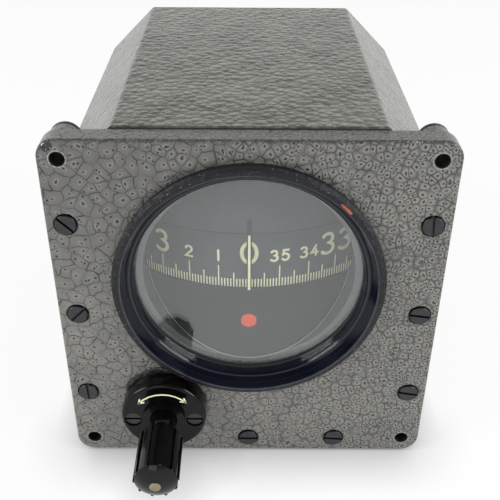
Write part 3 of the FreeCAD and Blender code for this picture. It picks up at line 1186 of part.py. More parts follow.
def behind_split(front):
    split = DRUM_Y + HOUSING_SPLIT
    if front:
        return box(-HOUSING_R, HOUSING_R, DRUM_Y - HOUSING_HALF_L, split, -HOUSING_R, HOUSING_R)
    return box(-HOUSING_R, HOUSING_R, split, DRUM_Y + HOUSING_HALF_L, -HOUSING_R, HOUSING_R)


def bearing_places():
    """Start of each rotor bearing along Y."""
    end = HOUSING_HALF_L - HOUSING_WALL
    return [DRUM_Y - end, DRUM_Y + end - ROTOR_BEARING_L]


def make_rotor_housing_body():
    body = housing_whole().common(behind_split(True))
    wall_in = DRUM_Y - HOUSING_HALF_L + HOUSING_WALL
    boss = tube_y(HOUSING_BOSS_R, ROTOR_BEARING_R, wall_in, wall_in + ROTOR_BEARING_L, 0, 0)
    return body.fuse(boss).removeSplitter()


def make_rotor_housing_cover():
    cover = housing_whole().common(behind_split(False))
    wall_in = DRUM_Y + HOUSING_HALF_L - HOUSING_WALL
    seat = tube_y(HOUSING_BOSS_R, ROTOR_BEARING_R, wall_in - ROTOR_BEARING_L, wall_in, 0, 0)
    sleeve = tube_y(HOUSING_BOSS_R, HOUSING_BOSS_BORE, DRUM_Y - BOSS_END, wall_in - ROTOR_BEARING_L, 0, 0)
    return cover.fuse([seat, sleeve]).removeSplitter()


def make_tilt_pivots():
    stub = rod_x(PIVOT_R, HOUSING_R, GIMBAL_HALF_W - PIVOT_SHORT, DRUM_Y, 0)
    pad = rod_x(PIVOT_PAD_R, HOUSING_R - HOUSING_WALL, HOUSING_R + PIVOT_PAD_PROUD, DRUM_Y, 0)
    around = rod_y(HOUSING_R, DRUM_Y - HOUSING_R, DRUM_Y + HOUSING_R, 0, 0)
    pivot = pad.fuse(stub).cut(around).removeSplitter()
    return [pivot, mirrored_x(pivot)]


def make_rotor_bearings():
    return [tube_y(ROTOR_BEARING_R, ROTOR_SHAFT_R + RUN_FIT, y, y + ROTOR_BEARING_L, 0, 0)
            for y in bearing_places()]


def make_rotor():
    y0 = DRUM_Y - ROTOR_HALF_L
    y1 = DRUM_Y + ROTOR_HALF_L
    wheel = rod_y(ROTOR_R, y0, y1, 0, 0)
    wheel = wheel.makeChamfer(ROTOR_EDGE, [e for e in wheel.Edges if len(e.Vertexes) == 1])
    cavity = tube_y(ROTOR_CAVITY_R, ROTOR_HUB_R, y0 + ROTOR_WEB, y1 + CUT_OVER, 0, 0)
    bore = rod_y(ROTOR_SHAFT_R, y0 - CUT_OVER, y1 + CUT_OVER, 0, 0)
    return wheel.cut([cavity, bore])


def make_rotor_shaft():
    front, rear = bearing_places()
    return rod_y(ROTOR_SHAFT_R, front + DRAWN_GAP, rear + ROTOR_BEARING_L - DRAWN_GAP, 0, 0)


def make_stator():
    y0 = DRUM_Y - BOSS_END
    core = tube_y(STATOR_R, HOUSING_BOSS_R, y0, y0 + STATOR_L, 0, 0)
    slots = []
    half = STATOR_SLOT_WIDTH / 2
    for i in range(STATOR_SLOTS):
        slot = box(STATOR_R - STATOR_SLOT_DEPTH, STATOR_R + CUT_OVER, y0 - CUT_OVER, y0 + STATOR_L + CUT_OVER,
                   -half, half)
        slot.rotate(V(0, 0, 0), Y_AXIS, i * 360 / STATOR_SLOTS)
        slots.append(slot)
    return core.cut(slots)


def plug_screw_places():
    return [(sx * PLUG_SCREW_AT, PLUG_Z + sz * PLUG_SCREW_AT) for sx in (-1, 1) for sz in (-1, 1)]


def make_connector_shell():
    h = PLUG_PLATE_HALF
    face = CASE_REAR_Y
    plate = box(-h, h, face, face + PLUG_PLATE_THICK, PLUG_Z - h, PLUG_Z + h)
    plate = fillet_edges(plate, PLUG_PLATE_CORNER_R, runs_along_y)
    front = face - PLUG_SPIGOT_LENGTH
    back = face + PLUG_LENGTH
    barrel = rod_y(PLUG_R, front, back, 0, PLUG_Z)
    cuts = [rod_y(PLUG_BORE_R, front - CUT_OVER, back + CUT_OVER, 0, PLUG_Z)]
    pitch = (PLUG_LENGTH - PLUG_PLATE_THICK) / (PLUG_GROOVE_COUNT + 2)
    for i in range(PLUG_GROOVE_COUNT):
        y = face + PLUG_PLATE_THICK + (i + 2) * pitch
        cuts.append(tube_y(PLUG_R + CUT_OVER, PLUG_R - PLUG_GROOVE_DEPTH, y - pitch / 2, y, 0, PLUG_Z))
    cuts += [rod_y(PLUG_SCREW_R, face - CUT_OVER, face + PLUG_PLATE_THICK + CUT_OVER, x, z)
             for x, z in plug_screw_places()]
    return plate.fuse(barrel).cut(cuts).removeSplitter()


def plug_pin_places():
    ring = [(PLUG_PIN_CIRCLE_R * math.cos(2 * math.pi * i / PLUG_PIN_COUNT),
             PLUG_Z + PLUG_PIN_CIRCLE_R * math.sin(2 * math.pi * i / PLUG_PIN_COUNT))
            for i in range(PLUG_PIN_COUNT)]
    return ring + [(0, PLUG_Z)]


def make_connector_insert():
    y0 = CASE_REAR_Y - PLUG_SPIGOT_LENGTH
    y1 = y0 + PLUG_INSERT_L
    insert = rod_y(PLUG_BORE_R, y0, y1, 0, PLUG_Z)
    return insert.cut([rod_y(PLUG_PIN_R, y0 - CUT_OVER, y1 + CUT_OVER, x, z) for x, z in plug_pin_places()])


def make_connector_pins():
    y0 = CASE_REAR_Y - PLUG_SPIGOT_LENGTH
    y1 = y0 + PLUG_INSERT_L + PLUG_PIN_L
    return [rod_y(PLUG_PIN_R, y0, y1, x, z) for x, z in plug_pin_places()]


def make_connector_screws():
    face = CASE_REAR_Y + PLUG_PLATE_THICK
    screws = []
    for x, z in plug_screw_places():
        head = rod_y(PLUG_SCREW_HEAD_R, face, face + PLUG_SCREW_HEAD, x, z)
        shank = rod_y(PLUG_SCREW_R, face - PLUG_SCREW_LENGTH, face, x, z)
        reach = PLUG_SCREW_HEAD_R + CUT_OVER
        slot = box(x - reach, x + reach, face + PLUG_SCREW_HEAD / 2, face + PLUG_SCREW_HEAD + CUT_OVER,
                   z - PLUG_SLOT_WIDTH / 2, z + PLUG_SLOT_WIDTH / 2)
        screws.append(head.fuse(shank).cut(slot).removeSplitter())
    return screws


PIECES = {
    "front_panel": make_front_panel, "corner_bushes": make_corner_bushes, "corner_shims": make_corner_shims,
    "corner_nut_plates": make_corner_nut_plates, "panel_screws": make_panel_screws,
    "case_gasket": make_case_gasket, "case_shell": make_case_shell, "bezel_ring": make_bezel_ring,
    "window_glass": make_window_glass, "glass_gasket": make_glass_gasket, "dial_frame": make_dial_frame,
    "dial_frame_screws": make_dial_frame_screws, "dial_mask_lower": make_dial_mask_lower,
    "dial_mask_upper": make_dial_mask_upper, "lubber_line": make_lubber_line, "red_marker": make_red_marker,
    "knob_flange": make_knob_flange, "flange_screws": make_flange_screws, "shaft_bush": make_shaft_bush,
    "knob": make_knob, "knob_pin": make_knob_pin, "knob_shaft": make_knob_shaft, "knob_gear": make_knob_gear,
    "lay_gear": make_lay_gear, "lay_pinion": make_lay_pinion, "lay_shaft": make_lay_shaft,
    "slide_yoke": make_slide_yoke, "guide_rods": make_guide_rods, "return_spring": make_return_spring,
    "crown_gear": make_crown_gear, "cage_plunger": make_cage_plunger, "upper_bracket": make_upper_bracket,
    "lower_bracket": make_lower_bracket, "rear_post": make_rear_post, "frame_screws": make_frame_screws,
    "upper_bearing": make_upper_bearing, "lower_bearing": make_lower_bearing,
    "outer_gimbal": make_outer_gimbal, "tilt_bearings": make_tilt_bearings,
    "upper_trunnion": make_upper_trunnion, "lower_trunnion": make_lower_trunnion,
    "card_spider": make_card_spider, "card_drum": make_card_drum, "slip_rings": make_slip_rings,
    "brush_block": make_brush_block, "brushes": make_brushes, "torquer_stator": make_torquer_stator,
    "torquer_rotor": make_torquer_rotor, "rotor_housing_body": make_rotor_housing_body,
    "rotor_housing_cover": make_rotor_housing_cover, "tilt_pivots": make_tilt_pivots,
    "rotor_bearings": make_rotor_bearings, "rotor": make_rotor, "rotor_shaft": make_rotor_shaft,
    "stator": make_stator, "connector_shell": make_connector_shell, "connector_insert": make_connector_insert,
    "connector_pins": make_connector_pins, "connector_screws": make_connector_screws,
}


def main():
    os.makedirs("parts", exist_ok=True)
    for name, make in PIECES.items():
        made = make()
        shape = Part.makeCompound(made) if isinstance(made, list) else made
        solids = shape.Solids
        if len(solids) == 1:
            shape = solids[0]
        shape.exportStep(f"parts/{name}.step")
        print(f"{name}: {len(solids)} solid(s), {shape.Volume:.1f} mm3, valid {shape.isValid()}")


main()
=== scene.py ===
import math
import random

import bmesh
import bpy
from mathutils import Matrix, Vector


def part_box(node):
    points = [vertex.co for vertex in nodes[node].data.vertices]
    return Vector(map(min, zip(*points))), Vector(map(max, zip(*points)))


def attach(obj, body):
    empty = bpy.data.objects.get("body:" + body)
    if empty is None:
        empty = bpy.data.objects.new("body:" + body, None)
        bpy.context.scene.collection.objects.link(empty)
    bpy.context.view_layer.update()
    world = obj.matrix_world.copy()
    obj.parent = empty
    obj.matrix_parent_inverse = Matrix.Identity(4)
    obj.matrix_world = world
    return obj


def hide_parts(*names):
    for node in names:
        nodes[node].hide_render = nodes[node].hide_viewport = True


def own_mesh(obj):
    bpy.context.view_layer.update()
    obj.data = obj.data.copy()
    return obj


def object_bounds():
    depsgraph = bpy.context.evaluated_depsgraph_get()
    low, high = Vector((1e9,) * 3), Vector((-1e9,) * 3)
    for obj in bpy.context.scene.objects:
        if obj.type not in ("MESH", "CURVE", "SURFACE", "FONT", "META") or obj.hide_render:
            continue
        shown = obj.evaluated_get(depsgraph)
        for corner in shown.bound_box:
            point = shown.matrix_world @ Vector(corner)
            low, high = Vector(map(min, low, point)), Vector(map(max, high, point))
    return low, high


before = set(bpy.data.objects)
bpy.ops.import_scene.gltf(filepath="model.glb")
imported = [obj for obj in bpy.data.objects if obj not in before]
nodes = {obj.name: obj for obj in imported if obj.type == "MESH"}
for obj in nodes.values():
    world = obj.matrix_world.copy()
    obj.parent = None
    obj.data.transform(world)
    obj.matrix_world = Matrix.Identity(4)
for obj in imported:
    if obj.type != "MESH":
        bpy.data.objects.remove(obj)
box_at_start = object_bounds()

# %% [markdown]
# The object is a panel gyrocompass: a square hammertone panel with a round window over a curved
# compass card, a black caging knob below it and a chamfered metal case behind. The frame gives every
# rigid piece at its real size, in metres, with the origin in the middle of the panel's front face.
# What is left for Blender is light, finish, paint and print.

MM = 0.001
scene = bpy.context.scene


def linear(hex_colour):
    """The linear RGBA of an sRGB hex colour."""
    parts = [int(hex_colour[i:i + 2], 16) / 255 for i in (1, 3, 5)]
    return [c / 12.92 if c <= 0.04045 else ((c + 0.055) / 1.055) ** 2.4 for c in parts] + [1.0]


# %% [markdown]
# The photograph looks down on the panel at about 33 degrees, from 27 cm away. The camera could be
# aimed with a constraint, but a fixed matrix from a pitch, a yaw and a small roll says exactly what
# was measured, and it stays as it is when the bodies move.

# %% Camera
IMAGE_PIXELS = 500
FOCAL_PIXELS = 794.1
SENSOR = 36.0
CAMERA_PITCH = math.radians(32.56)
CAMERA_YAW = math.radians(0.27)
CAMERA_ROLL = math.radians(0.41)
CAMERA_PLACE = Vector((-0.8, -217.3, 165.0)) * MM
NEAREST_SEEN = 10 * MM
FURTHEST_SEEN = 20.0

ahead = Vector((math.sin(CAMERA_YAW) * math.cos(CAMERA_PITCH),
                math.cos(CAMERA_YAW) * math.cos(CAMERA_PITCH),
                -math.sin(CAMERA_PITCH)))
level_right = Vector((math.cos(CAMERA_YAW), -math.sin(CAMERA_YAW), 0))
level_up = level_right.cross(ahead)
right = math.cos(CAMERA_ROLL) * level_right + math.sin(CAMERA_ROLL) * level_up
up = math.cos(CAMERA_ROLL) * level_up - math.sin(CAMERA_ROLL) * level_right

camera_data = bpy.data.cameras.new("camera")
camera_data.sensor_width = SENSOR
camera_data.lens = FOCAL_PIXELS / IMAGE_PIXELS * SENSOR
camera_data.clip_start = NEAREST_SEEN
camera_data.clip_end = FURTHEST_SEEN
camera = bpy.data.objects.new("camera", camera_data)
camera.matrix_world = Matrix((right, up, -ahead)).transposed().to_4x4()
camera.location = CAMERA_PLACE
scene.collection.objects.link(camera)
scene.camera = camera
print("camera:", [round(c / MM, 1) for c in camera.location], "mm, lens", round(camera_data.lens, 1), "mm")

# %% [markdown]
# Every finish here is built from shader nodes, so a few small helpers come first. One adds a node with
# its settings and links, one starts a material, one puts a material on the frame's own pieces, and the
# rest are short chains that several finishes share. Map Range turns a pattern into a share: its four
# numbers say where in the pattern the share starts and ends, and how large it is there. A noise keeps
# mostly between 0.3 and 0.7, so two numbers close together give sharp patches, and high ones few.

# %% Small helpers for materials
SMOOTH = {"interpolation_type": "SMOOTHSTEP"}
TIMES = {"operation": "MULTIPLY"}
FLAT = {"noise_dimensions": "2D"}
WHITE = (1, 1, 1, 1)


def add(tree, kind, settings=None, *values, **named):
    """Adds a shader node and fills its sockets, in order or by name, where _ stands for a space.
    A node that is given as a value is linked by its first output."""
    node = tree.nodes.new("ShaderNode" + kind)
    for name, value in (settings or {}).items():
        setattr(node, name, value)
    sockets = list(zip(node.inputs, values))
    sockets += [(node.inputs[name.replace("_", " ")], value) for name, value in named.items()]
    for socket, value in sockets:
        if isinstance(value, bpy.types.Node):
            value = value.outputs[0]
        if isinstance(value, bpy.types.NodeSocket):
            tree.links.new(value, socket)
        else:
            socket.default_value = value
    return node


def new_material(name):
    """An empty material and its node tree."""
    material = bpy.data.materials.new(name)
    material.use_nodes = True
    material.node_tree.nodes.clear()
    return material, material.node_tree


def dress(material, *names):
    """Puts a material on the frame's pieces of those names."""
    for name in names:
        nodes[name].data.materials.clear()
        nodes[name].data.materials.append(material)
    print(material.name, "on", ", ".join(names))


def place_in_mm(tree):
    """The surface's own place in millimetres."""
    place = add(tree, "TexCoord").outputs["Object"]
    return add(tree, "VectorMath", {"operation": "SCALE"}, place, Scale=1 / MM)


def facing_of(tree):
    """The X, Y and Z of the direction that the surface faces."""
    normal = add(tree, "TexCoord").outputs["Normal"]
    return add(tree, "SeparateXYZ", None, normal).outputs


def mm_from_axis(tree, in_mm, x, z):
    """How far the surface lies, in millimetres, from an axis that runs back through x and z."""
    offset = add(tree, "VectorMath", {"operation": "MULTIPLY_ADD"}, in_mm, (1, 0, 1), (-x, 0, -z))
    return add(tree, "VectorMath", {"operation": "LENGTH"}, offset).outputs["Value"]


def mm_from_corners(tree, in_mm, along, least=None):
    """How far the surface lies, in the panel's plane, from the nearest of four points that are as far
    along both ways from its middle. With least, offsets under it count as it."""
    offset = add(tree, "VectorMath", {"operation": "ABSOLUTE"}, in_mm)
    offset = add(tree, "VectorMath", {"operation": "MULTIPLY_ADD"}, offset, (1, 0, 1), (-along, 0, -along))
    if least is not None:
        offset = add(tree, "VectorMath", {"operation": "MAXIMUM"}, offset, (least, least, least))
    return add(tree, "VectorMath", {"operation": "LENGTH"}, offset).outputs["Value"]


def off_by(tree, value, middle):
    """How far a value is from a middle one, either way."""
    difference = add(tree, "Math", {"operation": "SUBTRACT"}, value, middle)
    return add(tree, "Math", {"operation": "ABSOLUTE"}, difference)


# %% [markdown]
# The instrument stands on its case on a white table. The table's own white would render grey in the
# corners, so the camera, and what glass and polish mirror, see it mostly as a plain white that darkens
# only where the object stands close over it. The rest is matt paint, which takes the lamps' shadows.

# %% Table
TABLE_SIZE = 12.0
TABLE_WHITE = "#f9f9f8"
TABLE_SHADE = "#505051"        # right under the object
SHADE_REACH = 24 * MM
SHADE_SAMPLES = 16
PLAIN_WHITE_SHARE = 0.88       # of what the camera and clear glass see
MIRRORED_WHITE_SHARE = 0.9     # of what polish mirrors


def seen_by_camera(tree, path):
    """1 on the camera's rays, also those that have gone through glass, and 0 on the others."""
    return add(tree, "Math", {"operation": "MAXIMUM"}, path.outputs["Is Camera Ray"],
               path.outputs["Is Transmission Ray"])


table_paint, tree = new_material("white_table_paint")
paint = add(tree, "BsdfDiffuse", Color=linear(TABLE_WHITE))
openness = add(tree, "AmbientOcclusion", {"samples": SHADE_SAMPLES}, Distance=SHADE_REACH)
white = add(tree, "MixRGB", None, openness.outputs["AO"], linear(TABLE_SHADE), WHITE)
plain = add(tree, "Emission", Color=white, Strength=1.0)
path = add(tree, "LightPath")
seen_share = add(tree, "Math", TIMES, seen_by_camera(tree, path), PLAIN_WHITE_SHARE)
mirror_share = add(tree, "Math", TIMES, path.outputs["Is Glossy Ray"], MIRRORED_WHITE_SHARE)
share = add(tree, "Math", {"operation": "MAXIMUM"}, seen_share, mirror_share)
mixed = add(tree, "MixShader", None, share, paint, plain)
add(tree, "OutputMaterial", Surface=mixed)

half = TABLE_SIZE / 2
table_z = box_at_start[0].z
corners = ((-half, -half), (half, -half), (half, half), (-half, half))
table_mesh = bpy.data.meshes.new("table")
table_mesh.from_pydata([(x, y, table_z) for x, y in corners], [], [(0, 1, 2, 3)])
table_mesh.materials.append(table_paint)
table = bpy.data.objects.new("table", table_mesh)
scene.collection.objects.link(table)
print("table at z", round(table_z / MM, 2), "mm")

# %% [markdown]
# The photograph was lit from low on both sides, and less from above: both sloping sides of the case
# are lighter than its top. Large area lamps give those broad soft lights, and a grey world fills the
# rest. Their levels add up to about one on a surface that faces between them. What polish mirrors of
# the room is white at the horizon, like the backdrop, and darker overhead, like a ceiling.

# %% Light
LAMPS = {                   # place and side in metres, power in watts
    "left_softbox": ((-0.85, -0.30, 0.42), 0.5, 5.9),
    "right_softbox": ((0.85, -0.25, 0.42), 0.5, 6.6),
    "front_softbox": ((-0.25, -0.90, 0.50), 0.5, 1.2),
}
AIM = Vector((0, 60, 0)) * MM
WORLD_LEVEL = 0.5
CEILING_LEVEL = 0.16
CEILING_FROM = 0.14         # sines of the elevations between which white turns to ceiling
CEILING_FULL = 0.7

for name, (place, size, power) in LAMPS.items():
    lamp_data = bpy.data.lights.new(name, "AREA")
    lamp_data.shape = "SQUARE"
    lamp_data.size = size
    lamp_data.energy = power
    lamp = bpy.data.objects.new(name, lamp_data)
    lamp.location = place
    lamp.rotation_euler = (AIM - Vector(place)).to_track_quat("-Z", "Y").to_euler()
    scene.collection.objects.link(lamp)
    print(name, "at", place, "m,", power, "W")

world = bpy.data.worlds.new("studio")
scene.world = world
world.use_nodes = True
tree = world.node_tree
tree.nodes.clear()
fill = add(tree, "Background", Color=WHITE, Strength=WORLD_LEVEL)
backdrop = add(tree, "Background", Color=WHITE, Strength=1.0)
direction = add(tree, "TexCoord").outputs["Generated"]
height = add(tree, "SeparateXYZ", None, direction).outputs["Z"]
ceiling = add(tree, "MapRange", SMOOTH, height, CEILING_FROM, CEILING_FULL, 1, CEILING_LEVEL)
room = add(tree, "Background", Color=WHITE, Strength=ceiling)
path = add(tree, "LightPath")
mirrored = add(tree, "MixShader", None, path.outputs["Is Glossy Ray"], fill, room)
mixed = add(tree, "MixShader", None, seen_by_camera(tree, path), mirrored, backdrop)
add(tree, "OutputWorld", Surface=mixed)
scene.view_settings.view_transform = "Standard"

# %% [markdown]
# The panel is cast alloy under hammertone enamel. As that enamel dries, it draws into rounded cells
# with thin dark veins between them, and each cell keeps one or two dark eyes with a faint ring. A
# photograph could be laid on it, but Voronoi cells give the same net from a rule: the distance to the
# nearest border draws the veins, and the distance to a cell's point draws its eye. The pattern is
# flat, so its sheet is folded over the panel's edges by the direction that a face looks.

# %% The enamel's sheet, folded over the edges
EDGE_SQUASH = 1.8           # how much narrower the cells lie on the panel's edges
FOLD = 0.707                # a face that turns further than this from the front lies past the fold
CORNER_R = 6.3              # mm, of the panel's outline
HALF_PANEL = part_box("front_panel")[1].x / MM

enamel, tree = new_material("hammertone_enamel_on_cast_panel")
in_mm = place_in_mm(tree)
spot = add(tree, "SeparateXYZ", None, in_mm)
facing = facing_of(tree)
sideways = add(tree, "Math", {"operation": "ABSOLUTE"}, facing["X"])
upward = add(tree, "Math", {"operation": "ABSOLUTE"}, facing["Z"])
is_side = add(tree, "Math", {"operation": "GREATER_THAN"}, sideways, FOLD)
is_edge = add(tree, "Math", {"operation": "GREATER_THAN"}, upward, FOLD)
squashed = add(tree, "Math", TIMES, spot.outputs["Y"], EDGE_SQUASH)
across = add(tree, "Math", {"operation": "MULTIPLY_ADD"}, squashed, is_side, spot.outputs["X"])
along = add(tree, "Math", {"operation": "MULTIPLY_ADD"}, squashed, is_edge, spot.outputs["Z"])
sheet = add(tree, "CombineXYZ", None, across, along)
print("enamel on a panel", round(2 * HALF_PANEL, 1), "mm wide")

# %% [markdown]
# The cells shrink to half their size from the left of the panel to the right. Squeezing the sheet
# would flatten them, so it is opened into a fan by the exponential map, which makes small shapes
# larger or smaller and keeps them round.

# %% The enamel's cells
PANEL_CELL = 3.3            # mm, a cell in the middle of the panel
SHRINK = 0.0058             # per mm to the right
WAVER = 1.2                 # mm, how far the cells' borders stray
WAVER_LENGTH = 5.5          # mm, from one bend of a border to the next
UNEVEN = 0.9                # how far the cells are from an even grid, where 1 is furthest

growth = add(tree, "Math", TIMES, across, SHRINK)
growth = add(tree, "Math", {"operation": "EXPONENT"}, growth)
turn = add(tree, "Math", TIMES, along, SHRINK)
fan_across = add(tree, "Math", {"operation": "COSINE"}, turn)
fan_along = add(tree, "Math", {"operation": "SINE"}, turn)
fan = add(tree, "CombineXYZ", None, fan_across, fan_along)
fan_size = add(tree, "Math", {"operation": "DIVIDE"}, growth, SHRINK)
fan = add(tree, "VectorMath", {"operation": "SCALE"}, fan, Scale=fan_size)
stray = add(tree, "TexNoise", FLAT, Vector=sheet, Scale=1 / WAVER_LENGTH, Detail=0.6)
stray = add(tree, "VectorMath", {"operation": "MULTIPLY_ADD"}, stray.outputs["Color"],
            (2 * WAVER, 2 * WAVER, 0), (-WAVER, -WAVER, 0))
drawn = add(tree, "VectorMath", {"operation": "ADD"}, fan, stray)

to_border = {"voronoi_dimensions": "2D", "feature": "DISTANCE_TO_EDGE"}
to_point = {"voronoi_dimensions": "2D", "feature": "F1"}
border = add(tree, "TexVoronoi", to_border, Vector=drawn, Scale=1 / PANEL_CELL, Randomness=UNEVEN)
point = add(tree, "TexVoronoi", to_point, Vector=drawn, Scale=1 / PANEL_CELL, Randomness=UNEVEN)
chance = add(tree, "SeparateColor", None, point.outputs["Color"])
cell_here = add(tree, "Math", {"operation": "DIVIDE"}, PANEL_CELL, growth)
gap = add(tree, "Math", TIMES, border, cell_here)
reach = add(tree, "Math", TIMES, point, cell_here)
cells = [round(PANEL_CELL / math.exp(x * SHRINK), 1) for x in (-HALF_PANEL, 0, HALF_PANEL)]
print("cells at the left, the middle and the right:", cells, "mm")

# %% The enamel's veins
VEIN = 0.22                 # mm, drawn a little wider than the real one, so that it shows
VEIN_CORE = 0.02            # mm
FADE_LENGTH = 4.5           # mm, from where a vein is strong to where it fades
FAINTEST_VEIN, STRONGEST_VEIN = 0.45, 0.95
LOOSE_FROM, LOOSE_FULL = 0.42, 0.66     # cell widths from a cell's point, where its far corners darken
LOOSE_LEFT, LOOSE_RIGHT = 0.1, 0.28     # how much they darken at the panel's two sides

fading = add(tree, "TexNoise", FLAT, Vector=sheet, Scale=1 / FADE_LENGTH, Detail=3.0)
vein_width = add(tree, "MapRange", None, fading, 0.35, 0.65, VEIN * 0.7, VEIN * 1.5)
vein = add(tree, "MapRange", SMOOTH, gap, VEIN_CORE, vein_width, 1, 0)
vein_depth = add(tree, "MapRange", SMOOTH, fading, 0.3, 0.55, FAINTEST_VEIN, STRONGEST_VEIN)
vein = add(tree, "Math", TIMES, vein, vein_depth)
loose = add(tree, "MapRange", SMOOTH, point, LOOSE_FROM, LOOSE_FULL, 0, 1)
loose_share = add(tree, "MapRange", SMOOTH, spot.outputs["X"], -HALF_PANEL, HALF_PANEL,
                  LOOSE_LEFT, LOOSE_RIGHT)
loose = add(tree, "Math", TIMES, loose, loose_share)
print("veins", round(VEIN * 0.7, 2), "to", round(VEIN * 1.5, 2), "mm to each side of a border")

# %% The enamel's eyes and rings
EYE_RADIUS = 0.33           # mm
RING_RADIUS = 0.72          # mm
RING_CORE, RING_EDGE = 0.05, 0.28       # mm from the ring's middle, where it starts and ends fading
RING_SHARE = 0.45
OTHER_EYES_APART = 2.4      # mm, for the second eyes that large cells have
OTHER_EYES_SHARE = 0.45     # of those places that have one
CLEAR_OF_VEIN = 0.5         # mm

eye_size = add(tree, "MapRange", None, chance.outputs["Blue"], 0, 1, EYE_RADIUS, EYE_RADIUS * 1.6)
eye = add(tree, "MapRange", SMOOTH, reach, EYE_RADIUS * 0.7, eye_size, 1, 0)
others = add(tree, "TexVoronoi", to_point, Vector=fan, Scale=1 / OTHER_EYES_APART)
other_reach = add(tree, "Math", TIMES, others, OTHER_EYES_APART)
other_eye = add(tree, "MapRange", SMOOTH, other_reach, EYE_RADIUS * 0.5, EYE_RADIUS * 1.3, 1, 0)
other_chance = add(tree, "SeparateColor", None, others.outputs["Color"])
is_kept = add(tree, "Math", {"operation": "LESS_THAN"}, other_chance.outputs["Red"], OTHER_EYES_SHARE)
is_inside = add(tree, "Math", {"operation": "GREATER_THAN"}, gap, CLEAR_OF_VEIN)
other_eye = add(tree, "Math", TIMES, other_eye, is_kept)
other_eye = add(tree, "Math", TIMES, other_eye, is_inside)
eye = add(tree, "Math", {"operation": "MAXIMUM"}, eye, other_eye)
from_ring = off_by(tree, reach, RING_RADIUS)
ring = add(tree, "MapRange", SMOOTH, from_ring, RING_CORE, RING_EDGE, RING_SHARE, 0)
print("eyes of", EYE_RADIUS, "mm in rings of", RING_RADIUS, "mm")

# %% The enamel's colours
PANEL_GREY = "#7b7a75"
PANEL_GREY_DEEP = "#5e5d5b"
PANEL_GREY_PALE = "#8e8d86"
EDGE_GREEN = "#757870"
VEIN_GREY = "#201e1f"
EYE_GREY = "#100f10"
CLOUD_LENGTH = 16           # mm
PEEL_LENGTH = 0.9           # mm, of the fine unevenness that sprayed enamel has
PLAIN_SHARE = 0.45          # of the plain grey over the fine tones
CELL_TONE_SHARE = 0.25
CLOUD_SHARE = 0.45
PAINTED_SHADE_TOWARDS = (-0.4, 0, 1)          # up and a little left, where the panel is painted darker: painted shade
PAINTED_SHADE_FROM, PAINTED_SHADE_FULL = 15, 80     # about mm that way from the panel's middle
PAINTED_SHADE_SHARE = 0.9
EDGE_SHARE = 0.8

cloud = add(tree, "TexNoise", FLAT, Vector=sheet, Scale=1 / CLOUD_LENGTH, Detail=5.0, Roughness=0.65)
orange_peel = add(tree, "TexNoise", FLAT, Vector=sheet, Scale=1 / PEEL_LENGTH, Detail=4.0, Roughness=0.65)
tone = add(tree, "MapRange", None, orange_peel, 0.32, 0.68, 0, 1)
base = add(tree, "MixRGB", None, tone, linear(PANEL_GREY_DEEP), linear(PANEL_GREY_PALE))
base = add(tree, "MixRGB", None, PLAIN_SHARE, base, linear(PANEL_GREY))
cell_tone = add(tree, "Math", TIMES, chance.outputs["Green"], CELL_TONE_SHARE)
base = add(tree, "MixRGB", None, cell_tone, base, linear(PANEL_GREY_DEEP))
cloud_share = add(tree, "MapRange", SMOOTH, cloud, 0.4, 0.7, 0, CLOUD_SHARE)
base = add(tree, "MixRGB", None, cloud_share, base, linear(PANEL_GREY_DEEP))
# painted shade: the panel's colour darkens towards its upper left
up_left = add(tree, "VectorMath", {"operation": "DOT_PRODUCT"}, in_mm, PAINTED_SHADE_TOWARDS).outputs["Value"]
painted_shade = add(tree, "MapRange", SMOOTH, up_left, PAINTED_SHADE_FROM, PAINTED_SHADE_FULL, 0, PAINTED_SHADE_SHARE)
base = add(tree, "MixRGB", None, painted_shade, base, linear(PANEL_GREY_DEEP))
base = add(tree, "MixRGB", None, ring, base, linear(PANEL_GREY_PALE))
edge_share = add(tree, "Math", TIMES, is_edge, EDGE_SHARE)
base = add(tree, "MixRGB", None, edge_share, base, linear(EDGE_GREEN))
base = add(tree, "MixRGB", None, loose, base, linear(VEIN_GREY))
base = add(tree, "MixRGB", None, vein, base, linear(VEIN_GREY))
base = add(tree, "MixRGB", None, eye, base, linear(EYE_GREY))
print("the enamel has", len(tree.nodes), "nodes so far")

# %% [markdown]
# The panel's front edge has been knocked and handled, most along the top: there the enamel is worn to
# a dark purplish line, with a few chips down to bright metal. The line follows the outline at a
# distance that is measured in the shader: out from the rounded square on the front, and back from
# the front on the edges, so that it is one band round the corner between them.

# %% Wear along the panel's front edge
WORN_DARK = "#171318"
WORN_WIDTH = 1.5            # mm
WORN_CORE = 0.1             # mm
WORN_SHARE = 0.9
CRUMBLE_LENGTH = 1.1        # mm, of the worn line's ragged border
TOP_FROM, TOP_FULL = 48, 61             # mm over the panel's middle, where the top's wear begins
WEAR_ELSEWHERE = 0.25

out = mm_from_corners(tree, in_mm, HALF_PANEL - CORNER_R, least=0)
from_line = add(tree, "Math", {"operation": "SUBTRACT"}, CORNER_R, out)
from_line = add(tree, "Math", {"operation": "ADD"}, from_line, spot.outputs["Y"])
crumble = add(tree, "TexNoise", Vector=in_mm, Scale=1 / CRUMBLE_LENGTH, Detail=5.0, Roughness=0.7)
worn_to = add(tree, "MapRange", None, crumble, 0.35, 0.65, WORN_WIDTH * 0.35, WORN_WIDTH * 1.5)
near_top = add(tree, "MapRange", SMOOTH, spot.outputs["Z"], TOP_FROM, TOP_FULL, WEAR_ELSEWHERE, 1)
worn_to = add(tree, "Math", TIMES, worn_to, near_top)
worn = add(tree, "MapRange", SMOOTH, from_line, WORN_CORE, worn_to, 1, 0)
worn_share = add(tree, "Math", TIMES, worn, near_top)
worn_share = add(tree, "Math", TIMES, worn_share, WORN_SHARE)
base = add(tree, "MixRGB", None, worn_share, base, linear(WORN_DARK))
print("worn up to", round(WORN_WIDTH * 1.5, 2), "mm from the outline")

